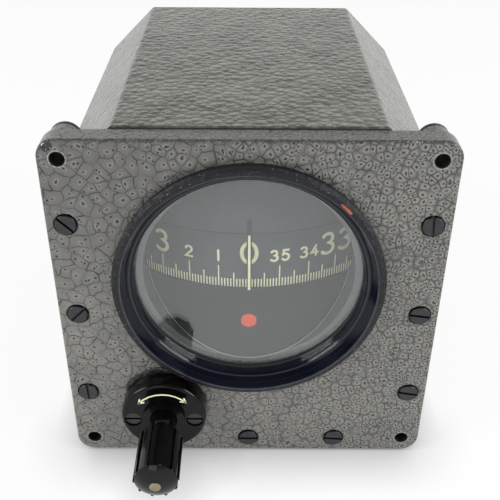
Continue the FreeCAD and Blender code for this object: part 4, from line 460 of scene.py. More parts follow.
# %% Chips in the enamel
WORN_BRIGHT = "#c9c7c2"
CHIP_PLACE = (-61.6, 0, 63.2)           # mm, a bare patch over the left hole
CHIP_RADIUS = 2.2           # mm
RIGHT_CHIPS_X = 50.0        # mm, where the small bright chips lie on the top edge
RIGHT_CHIPS_REACH = 9.0     # mm to each side
RIGHT_CHIPS_GAIN = 0.08     # added to the noise there, so that more of it is bright
GLITTER_LENGTH = 0.55       # mm
PATCH_SHARE = 0.7

from_patch = add(tree, "VectorMath", {"operation": "DISTANCE"}, in_mm, CHIP_PLACE).outputs["Value"]
patch_edge = add(tree, "MapRange", None, crumble, 0.35, 0.65, CHIP_RADIUS * 0.8, CHIP_RADIUS * 1.3)
patch = add(tree, "Math", {"operation": "LESS_THAN"}, from_patch, patch_edge)
base = add(tree, "MixRGB", None, patch, base, linear(WORN_DARK))
glitter = add(tree, "TexNoise", Vector=in_mm, Scale=1 / GLITTER_LENGTH, Detail=3.0, Roughness=0.6)
bare_patch = add(tree, "MapRange", SMOOTH, glitter, 0.56, 0.66, 0, PATCH_SHARE)
bare_patch = add(tree, "Math", TIMES, bare_patch, patch)
from_chips = off_by(tree, spot.outputs["X"], RIGHT_CHIPS_X)
chips = add(tree, "MapRange", SMOOTH, from_chips, 0, RIGHT_CHIPS_REACH, RIGHT_CHIPS_GAIN, 0)
chips = add(tree, "Math", {"operation": "ADD"}, chips, glitter)
chips = add(tree, "MapRange", SMOOTH, chips, 0.64, 0.68, 0, 1)
chips = add(tree, "Math", TIMES, chips, worn)
chips = add(tree, "Math", TIMES, chips, near_top)
bare = add(tree, "Math", {"operation": "MAXIMUM"}, bare_patch, chips)
base = add(tree, "MixRGB", None, bare, base, linear(WORN_BRIGHT))
print("a bare patch of", CHIP_RADIUS, "mm over the left hole")

# %% The enamel's relief and gloss
CROWN_WIDTH = 0.7           # mm, from a border to where a cell is at its full height
EYE_DIP = -0.6              # of a cell's height
PEEL_RISE = 0.4             # of a cell's height
PANEL_RELIEF = 0.09         # mm
SPRAYED_ROUGH, WORN_ROUGH = 0.28, 0.6
ENAMEL_INDEX = 1.55

crown = add(tree, "MapRange", SMOOTH, gap, 0, CROWN_WIDTH, 0, 1)
height = add(tree, "Math", {"operation": "MULTIPLY_ADD"}, eye, EYE_DIP, crown)
height = add(tree, "Math", {"operation": "MULTIPLY_ADD"}, orange_peel, PEEL_RISE, height)
relief = add(tree, "Bump", Strength=0.8, Distance=PANEL_RELIEF * MM, Height=height)
rough = add(tree, "MapRange", None, worn_share, 0, 1, SPRAYED_ROUGH, WORN_ROUGH)
coat = add(tree, "BsdfPrincipled", Base_Color=base, Roughness=rough, IOR=ENAMEL_INDEX, Metallic=bare,
           Normal=relief)
add(tree, "OutputMaterial", Surface=coat)
dress(enamel, "front_panel")

# %% [markdown]
# The case is bent sheet under the same kind of enamel, sprayed thicker: its cells stand out as soft
# pillows more than as a drawn net. A solid Voronoi pattern suits it, because it needs no unfolding
# over the bends. Its colour is cloudy, and a few black nicks show where it has been knocked. Its
# pillows are drawn a little deeper than the real ones, so that they show.

# %% Hammertone enamel on the case
CASE_CELL = 2.9             # mm
CASE_WAVER_LENGTH = 3.0     # mm; the borders stray by up to 1 mm
CASE_GROOVE = 0.5           # mm, from the middle of a groove to its edge

case_enamel, tree = new_material("hammertone_enamel_on_case_sheet")
in_mm = place_in_mm(tree)
stray = add(tree, "TexNoise", Vector=in_mm, Scale=1 / CASE_WAVER_LENGTH, Detail=2.0)
stray = add(tree, "VectorMath", {"operation": "MULTIPLY_ADD"}, stray.outputs["Color"],
            (2, 2, 2), (-1, -1, -1))
drawn = add(tree, "VectorMath", {"operation": "ADD"}, in_mm, stray)
pillows = add(tree, "TexVoronoi", {"feature": "SMOOTH_F1"}, Vector=drawn, Scale=1 / CASE_CELL,
              Smoothness=0.6)
net = add(tree, "TexVoronoi", {"feature": "DISTANCE_TO_EDGE"}, Vector=drawn, Scale=1 / CASE_CELL)
gap = add(tree, "Math", TIMES, net, CASE_CELL)
vein = add(tree, "MapRange", SMOOTH, gap, 0.0, CASE_GROOVE, 1, 0)
print("case cells of", CASE_CELL, "mm with grooves", CASE_GROOVE, "mm to each side")

# %% The case's colours and nicks
CASE_GREY = "#6b6d61"
CASE_GREY_DEEP = "#3f403a"
CASE_VEIN = "#30312e"
CASE_CLOUD_LENGTH = 14      # mm
CASE_CLOUD_SHARE = 0.7
CASE_VEIN_SHARE = 0.35
NICK_BLACK = "#1b1c1b"
NICK_SHARE = 0.85
NICKS_APART = 24            # mm
NICK_CORE, NICK_EDGE = 0.48, 1.08       # mm from a nick's middle, where it starts and ends fading
NICK_RAGGED = 0.6           # mm, how far its outline strays

cloud = add(tree, "TexNoise", Vector=in_mm, Scale=1 / CASE_CLOUD_LENGTH, Detail=6.0, Roughness=0.68)
cloud_share = add(tree, "MapRange", SMOOTH, cloud, 0.38, 0.68, 0, CASE_CLOUD_SHARE)
base = add(tree, "MixRGB", None, cloud_share, linear(CASE_GREY), linear(CASE_GREY_DEEP))
vein_share = add(tree, "Math", TIMES, vein, CASE_VEIN_SHARE)
base = add(tree, "MixRGB", None, vein_share, base, linear(CASE_VEIN))
ragged = add(tree, "VectorMath", {"operation": "SCALE"}, stray, Scale=NICK_RAGGED)
ragged = add(tree, "VectorMath", {"operation": "ADD"}, in_mm, ragged)
nicks = add(tree, "TexVoronoi", {"feature": "F1"}, Vector=ragged, Scale=1 / NICKS_APART)
nick = add(tree, "MapRange", SMOOTH, nicks, NICK_CORE / NICKS_APART, NICK_EDGE / NICKS_APART, NICK_SHARE, 0)
base = add(tree, "MixRGB", None, nick, base, linear(NICK_BLACK))
print("nicks about", NICKS_APART, "mm apart on the case")

# %% The case's relief and gloss
CASE_RELIEF = 0.4           # mm, from a pillow's top to the groove round it
GROOVE_DIP, PEEL_ON_CASE = -0.12, 0.12  # of that relief
CASE_ROUGH = 0.2
CASE_INDEX = 1.6

wrinkles = add(tree, "TexNoise", Vector=in_mm, Scale=1 / PEEL_LENGTH, Detail=3.0)
height = add(tree, "Math", TIMES, pillows, -1.0)
height = add(tree, "Math", {"operation": "MULTIPLY_ADD"}, vein, GROOVE_DIP, height)
height = add(tree, "Math", {"operation": "MULTIPLY_ADD"}, wrinkles, PEEL_ON_CASE, height)
relief = add(tree, "Bump", Strength=1.0, Distance=CASE_RELIEF * MM, Height=height)
coat = add(tree, "BsdfPrincipled", Base_Color=base, Roughness=CASE_ROUGH, IOR=CASE_INDEX, Normal=relief)
add(tree, "OutputMaterial", Surface=coat)
dress(case_enamel, "case_shell")

# %% [markdown]
# The bezel is a turned ring under glossy black lacquer with a blue cast. Its outer bevel has been
# handled and is dusty, so it is duller than the funnel inside, and the crest between them is rubbed
# thin; its lighter line there is partly that wear and partly a painted highlight. Inside the crest,
# the finest rings that the tool left are drawn lighter, partly dust in them and partly painted
# highlights. Several materials could share the ring, but one that works by the distance from the
# window's axis keeps the borders round and exact.

# %% The bezel's bevel, crest and funnel
CREST_INSET = 2.8           # mm, from the ring's widest radius to its crest
CREST_CORE, CREST_EDGE = 0.05, 0.3      # mm from the crest, where its rubbed and painted highlight line fades
BEVEL_BLEND = 0.8           # mm, from the crest to where the dust of either side is in full
bezel_low, bezel_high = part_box("bezel_ring")
WINDOW_Z = (bezel_low.z + bezel_high.z) / 2 / MM
BEZEL_R = (bezel_high.x - bezel_low.x) / 2 / MM
CREST_R = BEZEL_R - CREST_INSET
print("window's centre at z", round(WINDOW_Z, 2), "mm, bezel radius", round(BEZEL_R, 2), "mm")

bezel_lacquer, tree = new_material("black_lacquer_on_turned_ring")
in_mm = place_in_mm(tree)
radius = mm_from_axis(tree, in_mm, 0, WINDOW_Z)
outside = add(tree, "MapRange", SMOOTH, radius, CREST_R, CREST_R + BEVEL_BLEND, 0, 1)
from_crest = off_by(tree, radius, CREST_R)
crest = add(tree, "MapRange", SMOOTH, from_crest, CREST_CORE, CREST_EDGE, 1, 0)

# %% Dust, rubbing and painted highlights on the bezel
BEZEL_BLACK = "#090c18"
BEZEL_DUSTY = "#090a0d"
# rubbed lacquer and painted highlight, on the crest and in the turned rings
BEZEL_RUB_AND_HIGHLIGHT = "#4d5057"
BEZEL_DUST_WHITE = "#a9abae"
GRIME_LENGTH = 1.5          # mm
DUST_SPECK = 0.45           # mm
LEAST_DUST = 0.6            # on the outer bevel
LEAST_RUB_AND_HIGHLIGHT, MOST_RUB_AND_HIGHLIGHT = 0.25, 0.7
SPECK_SHARE = 0.8

grime = add(tree, "TexNoise", Vector=in_mm, Scale=1 / GRIME_LENGTH, Detail=6.0, Roughness=0.7)
dust = add(tree, "MapRange", SMOOTH, grime, 0.4, 0.72, LEAST_DUST, 1)
dust = add(tree, "Math", TIMES, dust, outside)
# the crest's lighter line: rubbing and a painted highlight
rub_and_highlight = add(tree, "MapRange", SMOOTH, grime, 0.3, 0.6, LEAST_RUB_AND_HIGHLIGHT, MOST_RUB_AND_HIGHLIGHT)
rub_and_highlight = add(tree, "Math", TIMES, rub_and_highlight, crest)
specks = add(tree, "TexNoise", Vector=in_mm, Scale=1 / DUST_SPECK, Detail=1.0)
speck = add(tree, "MapRange", SMOOTH, specks, 0.71, 0.76, 0, SPECK_SHARE)
speck = add(tree, "Math", TIMES, speck, outside)
base = add(tree, "MixRGB", None, dust, linear(BEZEL_BLACK), linear(BEZEL_DUSTY))
base = add(tree, "MixRGB", None, rub_and_highlight, base, linear(BEZEL_RUB_AND_HIGHLIGHT))
base = add(tree, "MixRGB", None, speck, base, linear(BEZEL_DUST_WHITE))
print("crest at radius", round(CREST_R, 2), "mm, with dust outside it")

# %% The bezel's turned rings and gloss
TOOL_STEP = 0.55            # mm, from one turned ring to the next, wider than the real ones, to show
RING_DUST_AND_HIGHLIGHT_SHARE = 0.35
TURNING_RISE = 1.6          # of the turned rings, against the grime's
BEZEL_RELIEF = 0.03         # mm
LACQUER_ROUGH, DUST_ROUGH = 0.07, 0.85
LACQUER_INDEX = 1.42

turning = add(tree, "TexNoise", {"noise_dimensions": "1D"}, W=radius, Scale=1 / TOOL_STEP, Detail=2.0)
# lighter turned rings inside the crest: dust in them and painted highlights
inside = add(tree, "MapRange", SMOOTH, radius, CREST_R - BEVEL_BLEND, CREST_R, RING_DUST_AND_HIGHLIGHT_SHARE, 0)
ring_dust_and_highlight = add(tree, "MapRange", SMOOTH, turning, 0.56, 0.66, 0, 1)
ring_dust_and_highlight = add(tree, "Math", TIMES, ring_dust_and_highlight, inside)
base = add(tree, "MixRGB", None, ring_dust_and_highlight, base, linear(BEZEL_RUB_AND_HIGHLIGHT))
rough = add(tree, "MapRange", None, dust, 0, 1, LACQUER_ROUGH, DUST_ROUGH)
height = add(tree, "Math", {"operation": "MULTIPLY_ADD"}, turning, TURNING_RISE, grime)
relief = add(tree, "Bump", Strength=0.5, Distance=BEZEL_RELIEF * MM, Height=height)
coat = add(tree, "BsdfPrincipled", Base_Color=base, Roughness=rough, IOR=LACQUER_INDEX, Normal=relief)
add(tree, "OutputMaterial", Surface=coat)
dress(bezel_lacquer, "bezel_ring")

# %% [markdown]
# The window is clear flat glass with a little dust on it. Its haze over the dial is the white table,
# mirrored in both its faces, so it is a dense glass with a high index. Glass that refracts blocks the
# lamps' rays, and the dial would stay dark, so rays from lamps pass straight through instead.

# %% Window glass
GLASS_TINT = "#f2f5f4"
GLASS_INDEX = 1.74
DUST_SHARE = 0.008          # of the light that each of the two faces scatters

window, tree = new_material("clear_flat_glass")
glass = add(tree, "BsdfPrincipled", Base_Color=linear(GLASS_TINT), Roughness=0.0, IOR=GLASS_INDEX,
            Transmission_Weight=1 - DUST_SHARE)
through = add(tree, "BsdfTransparent", Color=linear(GLASS_TINT))
path = add(tree, "LightPath")
mixed = add(tree, "MixShader", None, path.outputs["Is Shadow Ray"], glass, through)
add(tree, "OutputMaterial", Surface=mixed)
dress(window, "window_glass")

# %% [markdown]
# Behind the glass, the frame and the two masks round the card have matt paint, from grey to black. Old
# paint there is never even: it is a little paler where it has bleached, with fine specks of dust. A
# thin bright ring on the lower mask, where the frame's tube ends, is a painted highlight of the mask's
# rim; the tube's inner side is painted darker than its face as painted shade, and the upper mask's
# lower edge has a painted shadow.

# %% Matt paint
TUBE_BORE_R = 36.2          # mm, of the frame's tube
HIGHLIGHT_INSET = 0.45            # mm, from the tube's bore to the painted highlight ring on the lower mask
HIGHLIGHT_RING_R = TUBE_BORE_R - HIGHLIGHT_INSET
HIGHLIGHT_CORE, HIGHLIGHT_EDGE = 0.12, 0.3          # mm from that ring, where it starts and ends fading
HIGHLIGHT_SHARE = 0.8
FORWARD = -0.9              # the y of the way a face looks, over which it no longer faces the reader
EDGE_CORE, EDGE_END = 0.2, 0.45         # mm over the upper mask's low edge, where its painted shadow starts and ends fading
PAINT_RELIEF = 0.005        # mm
PAINT_INDEX = 1.5


def matt_paint(name, colour, deeper, roughness, patch_mm, speck_mm, rim_highlight=None, side=None, shadow_edge=None):
    """Matt paint with soft patches and fine specks, each of a real size. A rim colour shows, as a
    painted highlight, in a thin ring where the frame's tube ends, and a side colour, as painted shade,
    on faces that look away from the front. The edge colour is a painted shadow: a colour and the
    height of the low edge that has it."""
    material, tree = new_material(name)
    in_mm = place_in_mm(tree)
    patches = add(tree, "TexNoise", Vector=in_mm, Scale=1 / patch_mm, Detail=4.0, Roughness=0.6)
    specks = add(tree, "TexNoise", Vector=in_mm, Scale=1 / speck_mm, Detail=2.0, Roughness=0.5)
    patch_share = add(tree, "MapRange", SMOOTH, patches, 0.35, 0.7, 0, 1)
    base = add(tree, "MixRGB", None, patch_share, linear(colour), linear(deeper))
    if rim_highlight:
        # painted highlight: a thin bright ring where the frame's tube ends
        from_line = off_by(tree, mm_from_axis(tree, in_mm, 0, WINDOW_Z), HIGHLIGHT_RING_R)
        line = add(tree, "MapRange", SMOOTH, from_line, HIGHLIGHT_CORE, HIGHLIGHT_EDGE, HIGHLIGHT_SHARE, 0)
        base = add(tree, "MixRGB", None, line, base, linear(rim_highlight))
    # painted shade: faces turned away from the front take the side colour
    if side:
        turned_away = add(tree, "Math", {"operation": "GREATER_THAN"}, facing_of(tree)["Y"], FORWARD)
        base = add(tree, "MixRGB", None, turned_away, base, linear(side))
    # painted shadow along the upper mask's lower edge, where it meets the card
    if shadow_edge:
        edge_colour, edge_z = shadow_edge
        spot = add(tree, "SeparateXYZ", None, in_mm)
        line = add(tree, "MapRange", SMOOTH, spot.outputs["Z"], edge_z + EDGE_CORE, edge_z + EDGE_END, 1, 0)
        base = add(tree, "MixRGB", None, line, base, linear(edge_colour))
    relief = add(tree, "Bump", Strength=0.2, Distance=PAINT_RELIEF * MM, Height=specks)
    coat = add(tree, "BsdfPrincipled", Base_Color=base, Roughness=roughness, IOR=PAINT_INDEX, Normal=relief)
    add(tree, "OutputMaterial", Surface=coat)
    return material


# %% Dial paints
mask_edge_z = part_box("dial_mask_upper")[0].z / MM
# the lower mask's thin bright ring is a painted highlight of its rim
dress(matt_paint("matt_black_mask_paint", "#151b1d", "#0f1315", 0.8, 15, 0.3, rim_highlight="#b9bcbc"),
      "dial_mask_lower")
# the upper mask's dark lower edge is a painted shadow
dress(matt_paint("matt_grey_mask_paint", "#4b5356", "#42494c", 0.8, 15, 0.3,
                 shadow_edge=("#0c0d0e", mask_edge_z)),
      "dial_mask_upper")
# the tube's inner side is darker as painted shade
dress(matt_paint("matt_grey_frame_paint", "#75797a", "#646869", 0.7, 12, 0.3, side="#2a2c2d"),
      "dial_frame")
dress(matt_paint("matt_black_card_paint", "#4a4f54", "#404549", 0.85, 18, 0.25), "card_drum")
cream = matt_paint("cream_luminous_paint", "#f8f4cd", "#ece7bd", 0.7, 3, 0.4)
# the lubber strip is painted near black: painted shade for the shadows along its edges
lubber_strip_shade = matt_paint("lubber_strip_painted_shade", "#0f1011", "#0b0c0c", 0.7, 6, 0.3)
red = matt_paint("red_signal_paint", "#ea5029", "#cc4124", 0.55, 4, 0.4)
dress(lubber_strip_shade, "lubber_line")
dress(red, "red_marker")

# %% [markdown]
# The card's marks are cream paint in engraved grooves: a tick each degree, a longer one each five and
# ten, and numbers in tens of degrees, larger every thirty. They could be a picture, but paint has an
# edge and a thickness, so each mark is a thin stroke of a round pen, laid in a plane and then wrapped
# on the drum. The digits are drawn from arcs and lines, as an engraver's template guides them.

# %% Pen strokes
ARC_STEP = 12               # degrees between the points of an arc
END_STEPS = 6               # points round a stroke's end
CLOSED_WITHIN = 0.01        # of the pen's width, between the ends of a ring
SHARPEST = 0.5              # cosine of half the sharpest turn that a corner is widened for


def arc(centre, reach, start, end):
    """Points of an elliptic arc round a centre, between two angles in degrees."""
    steps = max(2, round(abs(end - start) / ARC_STEP))
    angles = [math.radians(start + (end - start) * i / steps) for i in range(steps + 1)]
    return [(centre[0] + reach[0] * math.cos(a), centre[1] + reach[1] * math.sin(a)) for a in angles]


def pen_stroke(sheet, path, pen):
    """Adds the flat shape of one pen stroke to a bmesh. A path that ends where it starts is a ring."""
    points = [Vector(p) for p in path]
    is_ring = (points[0] - points[-1]).length < pen * CLOSED_WITHIN
    if is_ring:
        points.pop()
    count = len(points)
    pairs = []
    for i, point in enumerate(points):
        before = points[(i - 1) % count] if is_ring or i else point
        after = points[(i + 1) % count] if is_ring or i < count - 1 else point
        directions = [d.normalized() for d in (point - before, after - point) if d.length > 0]
        ahead = sum(directions, Vector((0, 0))).normalized()
        side = Vector((-ahead.y, ahead.x)) * pen / 2
        widen = 1 / max(SHARPEST, ahead.dot(directions[0]))
        pairs.append([sheet.verts.new((*(point + side * s * widen), 0)) for s in (1, -1)])
    for i in range(count if is_ring else count - 1):
        (a, b), (c, d) = pairs[i], pairs[(i + 1) % count]
        sheet.faces.new((a, b, d, c))
    if not is_ring:
        round_end(sheet, points[0], points[1], pairs[0])
        round_end(sheet, points[-1], points[-2], pairs[-1])


def round_end(sheet, end, inner, pair):
    """Adds the half circle at the end of a stroke, on the side away from its inner point."""
    spoke = pair[0].co.xy - end
    turn = 1 if spoke.cross(end - inner) > 0 else -1
    turns = [Matrix.Rotation(turn * math.pi * k / END_STEPS, 2) for k in range(1, END_STEPS)]
    rim = [sheet.verts.new((*(end + rotation @ spoke), 0)) for rotation in turns]
    sheet.faces.new([pair[0], *rim, pair[1]])


def painted_marks(name, strokes, place, material, body):
    """Makes one piece from pen strokes: (path, pen) pairs in a plane. place(u, v, is_top) says where a
    point of the paint's face, or of its underside, lies in space."""
    sheet = bmesh.new()
    for path, pen in strokes:
        pen_stroke(sheet, path, pen)
    tops = set(sheet.verts)
    bmesh.ops.solidify(sheet, geom=list(sheet.faces), thickness=MM)
    for vertex in sheet.verts:
        vertex.co = place(vertex.co.x, vertex.co.y, vertex in tops)
    bmesh.ops.recalc_face_normals(sheet, faces=list(sheet.faces))
    new_piece(name, sheet, material, body)


def new_piece(name, shape, material, body):
    """Turns a finished bmesh into a piece that rides on a body."""
    mesh = bpy.data.meshes.new(name)
    shape.to_mesh(mesh)
    shape.free()
    mesh.materials.append(material)
    piece = bpy.data.objects.new(name, mesh)
    scene.collection.objects.link(piece)
    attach(piece, body)
    print(name, "on", body, "with", len(mesh.polygons), "faces")


# %% Digits as an engraver's template has them
DIGIT_STROKES = {
    "0": [arc((0.32, 0.5), (0.32, 0.5), 90, 450)],
    "1": [[(0.0, 0.0), (0.0, 1.0)]],
    "2": [arc((0.29, 0.72), (0.27, 0.28), 165, -35) + [(0.0, 0.0), (0.58, 0.0)]],
    "3": [arc((0.26, 0.76), (0.25, 0.24), 150, -70) + arc((0.26, 0.27), (0.3, 0.27), 70, -145)],
    "4": [[(0.42, 1.0), (0.0, 0.3), (0.6, 0.3)], [(0.42, 0.6), (0.42, 0.0)]],
    "5": [[(0.53, 1.0), (0.12, 1.0), (0.06, 0.56)] + arc((0.27, 0.32), (0.3, 0.32), 125, -145)],
    "6": [arc((0.3, 0.31), (0.29, 0.31), 90, 450), [(0.46, 1.0), (0.18, 0.7), (0.03, 0.42)]],
    "7": [[(0.0, 1.0), (0.57, 1.0), (0.18, 0.0)]],
    "8": [arc((0.3, 0.76), (0.23, 0.24), 0, 360), arc((0.3, 0.27), (0.3, 0.27), 0, 360)],
    "9": [arc((0.3, 0.69), (0.29, 0.31), 90, 450), [(0.57, 0.58), (0.42, 0.3), (0.14, 0.0)]],
}


def number_strokes(text, height, pen):
    """Strokes of a number, centred at the origin of its plane, for a pen of that width."""
    tall = height - pen
    widths = [max(x for path in DIGIT_STROKES[digit] for x, z in path) * tall for digit in text]
    space = pen * 2
    left = -(sum(widths) + space * (len(text) - 1)) / 2
    strokes = []
    for digit, width in zip(text, widths):
        for path in DIGIT_STROKES[digit]:
            strokes.append(([(left + x * tall, (z - 0.5) * tall) for x, z in path], pen))
        left += width + space
    return strokes


# %% Ticks and numbers on the card
TICK_FOOT_Z = 7.3 * MM
TICK_HEIGHTS = {10: 8.5 * MM, 5: 5.8 * MM, 1: 3.4 * MM}
TICK_PEN = 0.44 * MM
LARGE_NUMBER = (9.1 * MM, 1.3 * MM, 21.2 * MM)     # height, pen and the middle's z
SMALL_NUMBER = (4.8 * MM, 0.82 * MM, 19.7 * MM)
LARGE_EACH = 30                                    # degrees
PAINT_RISE = 0.04 * MM
PAINT_SINK = 0.06 * MM
card_low, card_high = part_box("card_drum")
CARD_R = (card_high.x - card_low.x) / 2
CARD_AXIS_Y = (card_low.y + card_high.y) / 2


def on_card(u, v, is_top):
    """Wraps the plane of the marks round the drum: u runs to the reader's right, v upwards."""
    radius = CARD_R + (PAINT_RISE if is_top else -PAINT_SINK)
    return radius * math.sin(u / CARD_R), CARD_AXIS_Y - radius * math.cos(u / CARD_R), v


strokes = []
for degree in range(360):
    size = next(TICK_HEIGHTS[step] for step in (10, 5, 1) if degree % step == 0)
    u = math.radians(degree) * CARD_R
    strokes.append(([(u, TICK_FOOT_Z + TICK_PEN / 2), (u, TICK_FOOT_Z + size - TICK_PEN / 2)], TICK_PEN))
painted_marks("card_ticks", strokes, on_card, cream, "card_gimbal")

strokes = []
for degree in range(0, 360, 10):
    height, pen, middle_z = LARGE_NUMBER if degree % LARGE_EACH == 0 else SMALL_NUMBER
    u = -math.radians(degree) * CARD_R
    for path, width in number_strokes(str(degree // 10), height, pen):
        strokes.append(([(u + x, middle_z + z) for x, z in path], width))
painted_marks("card_numbers", strokes, on_card, cream, "card_gimbal")

# %% [markdown]
# The lubber line is a strip in front of the card, with a cream line painted on most of its
# length, and the strip is painted near black as painted shade for the shadows along its edges. The
# line is the mark that a heading is read against, so it is a piece of its own.

# %% Lubber line
LUBBER_PEN = 0.85 * MM
LUBBER_LOW_Z = 7.5 * MM
LUBBER_HIGH_Z = 28.6 * MM
strip_front_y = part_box("lubber_line")[0].y


def on_strip(u, v, is_top):
    """The plane of the lubber strip's front face."""
    return u, strip_front_y - (PAINT_RISE if is_top else -PAINT_SINK), v


painted_marks("lubber_paint", [([(0, LUBBER_LOW_Z), (0, LUBBER_HIGH_Z)], LUBBER_PEN)], on_strip, cream,
              "instrument")

# %% [markdown]
# A short red tick is painted on the bezel's upper right, along the slope between the crest and the
# shoulder. It bends with the ring, so its stroke is laid along an arc and tipped with the slope.

# %% Red tick on the bezel
TICK_RADIUS = 43.4 * MM     # of the red tick's middle, from the window's axis
TICK_FROM, TICK_TO = 43.6, 49.1    # degrees round the window, from the reader's right
TICK_STEPS = 6
RED_PEN = 0.8 * MM
SHOULDER_INSET = 1.2 * MM   # from the ring's widest radius
SHOULDER_BACK = 0.55 * MM   # behind the ring's crest
shoulder_r = BEZEL_R * MM - SHOULDER_INSET
crest_r = CREST_R * MM


def on_bezel(u, v, is_top):
    """The slope between the bezel's crest and its shoulder: u is an angle on the tick's own radius,
    v is how far out from that radius."""
    angle = u / TICK_RADIUS
    radius = TICK_RADIUS + v
    slope = SHOULDER_BACK * (radius - crest_r) / (shoulder_r - crest_r)
    y = bezel_low.y + slope - (PAINT_RISE if is_top else -PAINT_SINK)
    return radius * math.cos(angle), y, WINDOW_Z * MM + radius * math.sin(angle)


turns = [math.radians(TICK_FROM + (TICK_TO - TICK_FROM) * i / TICK_STEPS) for i in range(TICK_STEPS + 1)]
faded_red = matt_paint("faded_red_paint", "#b95c48", "#5f2b21", 0.4, 1.0, 0.4)
painted_marks("bezel_red_tick", [([(turn * TICK_RADIUS, 0) for turn in turns], RED_PEN)], on_bezel,
              faded_red, "instrument")

# %% [markdown]
# The flange and the knob are moulded bakelite: hard, black and glossy where new. The knob's domed end
# has gone dull and dusty from fingers, and the flange's rim shows the resin's brown where it is worn.

# %% Bakelite
BAKELITE_BLACK = "#060607"
BAKELITE_WORN = "#2e1a12"
KNOB_DUST = "#6a6b6a"
BAKELITE_GRIME = 1.2        # mm
LEAST_MOTTLE = 0.4
RIM_CORE, RIM_EDGE = 0.1, 0.5           # mm from a rim, where its brown starts and ends fading
MOULDED_ROUGH, DUSTY_ROUGH = 0.12, 0.9
BAKELITE_RELIEF = 0.01      # mm
KNOB_DUST_FROM, KNOB_DUST_FULL = 2.6, 0.2          # mm behind the knob's end
FLANGE_DUST_FROM, FLANGE_DUST_FULL = 1.6, 1.4      # mm behind the front of the flange's hub
knob_low, knob_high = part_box("knob")
flange_low, flange_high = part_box("knob_flange")
KNOB_X = (flange_low.x + flange_high.x) / 2 / MM
KNOB_Z = (flange_low.z + flange_high.z) / 2 / MM
KNOB_R = (knob_high.x - knob_low.x) / 2 / MM
FLANGE_R = (flange_high.x - flange_low.x) / 2 / MM


def bakelite(name, dust_from_y, dust_full_y, dust_share, brown_radius, brown_share, index):
    """Moulded bakelite, dustier from one depth to another, brown where it is rubbed near a radius."""
    material, tree = new_material(name)
    in_mm = place_in_mm(tree)
    spot = add(tree, "SeparateXYZ", None, in_mm)
    grime = add(tree, "TexNoise", Vector=in_mm, Scale=1 / BAKELITE_GRIME, Detail=6.0, Roughness=0.65)
    dusty = add(tree, "MapRange", SMOOTH, spot.outputs["Y"], dust_from_y, dust_full_y, 0, dust_share)
    mottle = add(tree, "MapRange", SMOOTH, grime, 0.3, 0.7, LEAST_MOTTLE, 1)
    dusty = add(tree, "Math", TIMES, dusty, mottle)
    from_rim = off_by(tree, mm_from_axis(tree, in_mm, KNOB_X, KNOB_Z), brown_radius)
    worn = add(tree, "MapRange", SMOOTH, from_rim, RIM_CORE, RIM_EDGE, 1, 0)
    patchy = add(tree, "MapRange", SMOOTH, grime, 0.48, 0.64, 0, brown_share)
    worn = add(tree, "Math", TIMES, worn, patchy)
    base = add(tree, "MixRGB", None, dusty, linear(BAKELITE_BLACK), linear(KNOB_DUST))
    base = add(tree, "MixRGB", None, worn, base, linear(BAKELITE_WORN))
    rough = add(tree, "MapRange", None, dusty, 0, 1, MOULDED_ROUGH, DUSTY_ROUGH)
    relief = add(tree, "Bump", Strength=0.15, Distance=BAKELITE_RELIEF * MM, Height=grime)
    coat = add(tree, "BsdfPrincipled", Base_Color=base, Roughness=rough, IOR=index, Normal=relief)
    add(tree, "OutputMaterial", Surface=coat)
    return material


knob_front = knob_low.y / MM
hub_front = flange_low.y / MM
dress(bakelite("moulded_bakelite_of_the_knob", knob_front + KNOB_DUST_FROM, knob_front + KNOB_DUST_FULL,
               dust_share=0.02, brown_radius=KNOB_R, brown_share=0.3, index=1.37),
      "knob")
dress(bakelite("moulded_bakelite_of_the_flange", hub_front + FLANGE_DUST_FROM, hub_front + FLANGE_DUST_FULL,
               dust_share=0.01, brown_radius=FLANGE_R, brown_share=0.35, index=1.3),
      "knob_flange")

# %% [markdown]
# An arc with two arrowheads on the flange says that the knob turns both ways. It is cream paint in a
# groove, as on the card, so it is drawn with the same pen strokes, laid on the flange's flat face.

# %% Turning mark on the flange
ARC_RADIUS = 11.0 * MM
ARC_FROM, ARC_TO = 42, 142  # degrees round the knob, from the reader's right
MARK_PEN = 0.6 * MM
BARB = 1.9 * MM
BARB_TURN = math.radians(32)
HUB_RISE = 1.5 * MM         # of the flange's hub over its face
flange_face_y = flange_low.y + HUB_RISE


def on_flange(u, v, is_top):
    """The plane of the flange's face, from the knob's axis."""
    return KNOB_X * MM + u, flange_face_y - (PAINT_RISE if is_top else -PAINT_SINK), KNOB_Z * MM + v


bow = arc((0, 0), (ARC_RADIUS, ARC_RADIUS), ARC_FROM, ARC_TO)
strokes = [(bow, MARK_PEN)]
for tip, inner in ((Vector(bow[0]), Vector(bow[1])), (Vector(bow[-1]), Vector(bow[-2]))):
    inward = (inner - tip).normalized() * BARB
    barbs = [tip + Matrix.Rotation(side * BARB_TURN, 2) @ inward for side in (1, -1)]
    strokes.append(([tuple(barbs[0]), tuple(tip), tuple(barbs[1])], MARK_PEN))
painted_marks("turning_mark", strokes, on_flange, cream, "instrument")

# %% [markdown]
# Someone has sealed the flange to the panel with black compound, and a smear of it lies along the
# flange's upper left, up to the bezel. It is a low lumpy bead, so it is a grid of points that rises
# over the panel and falls again, with random lumps from a fixed seed.

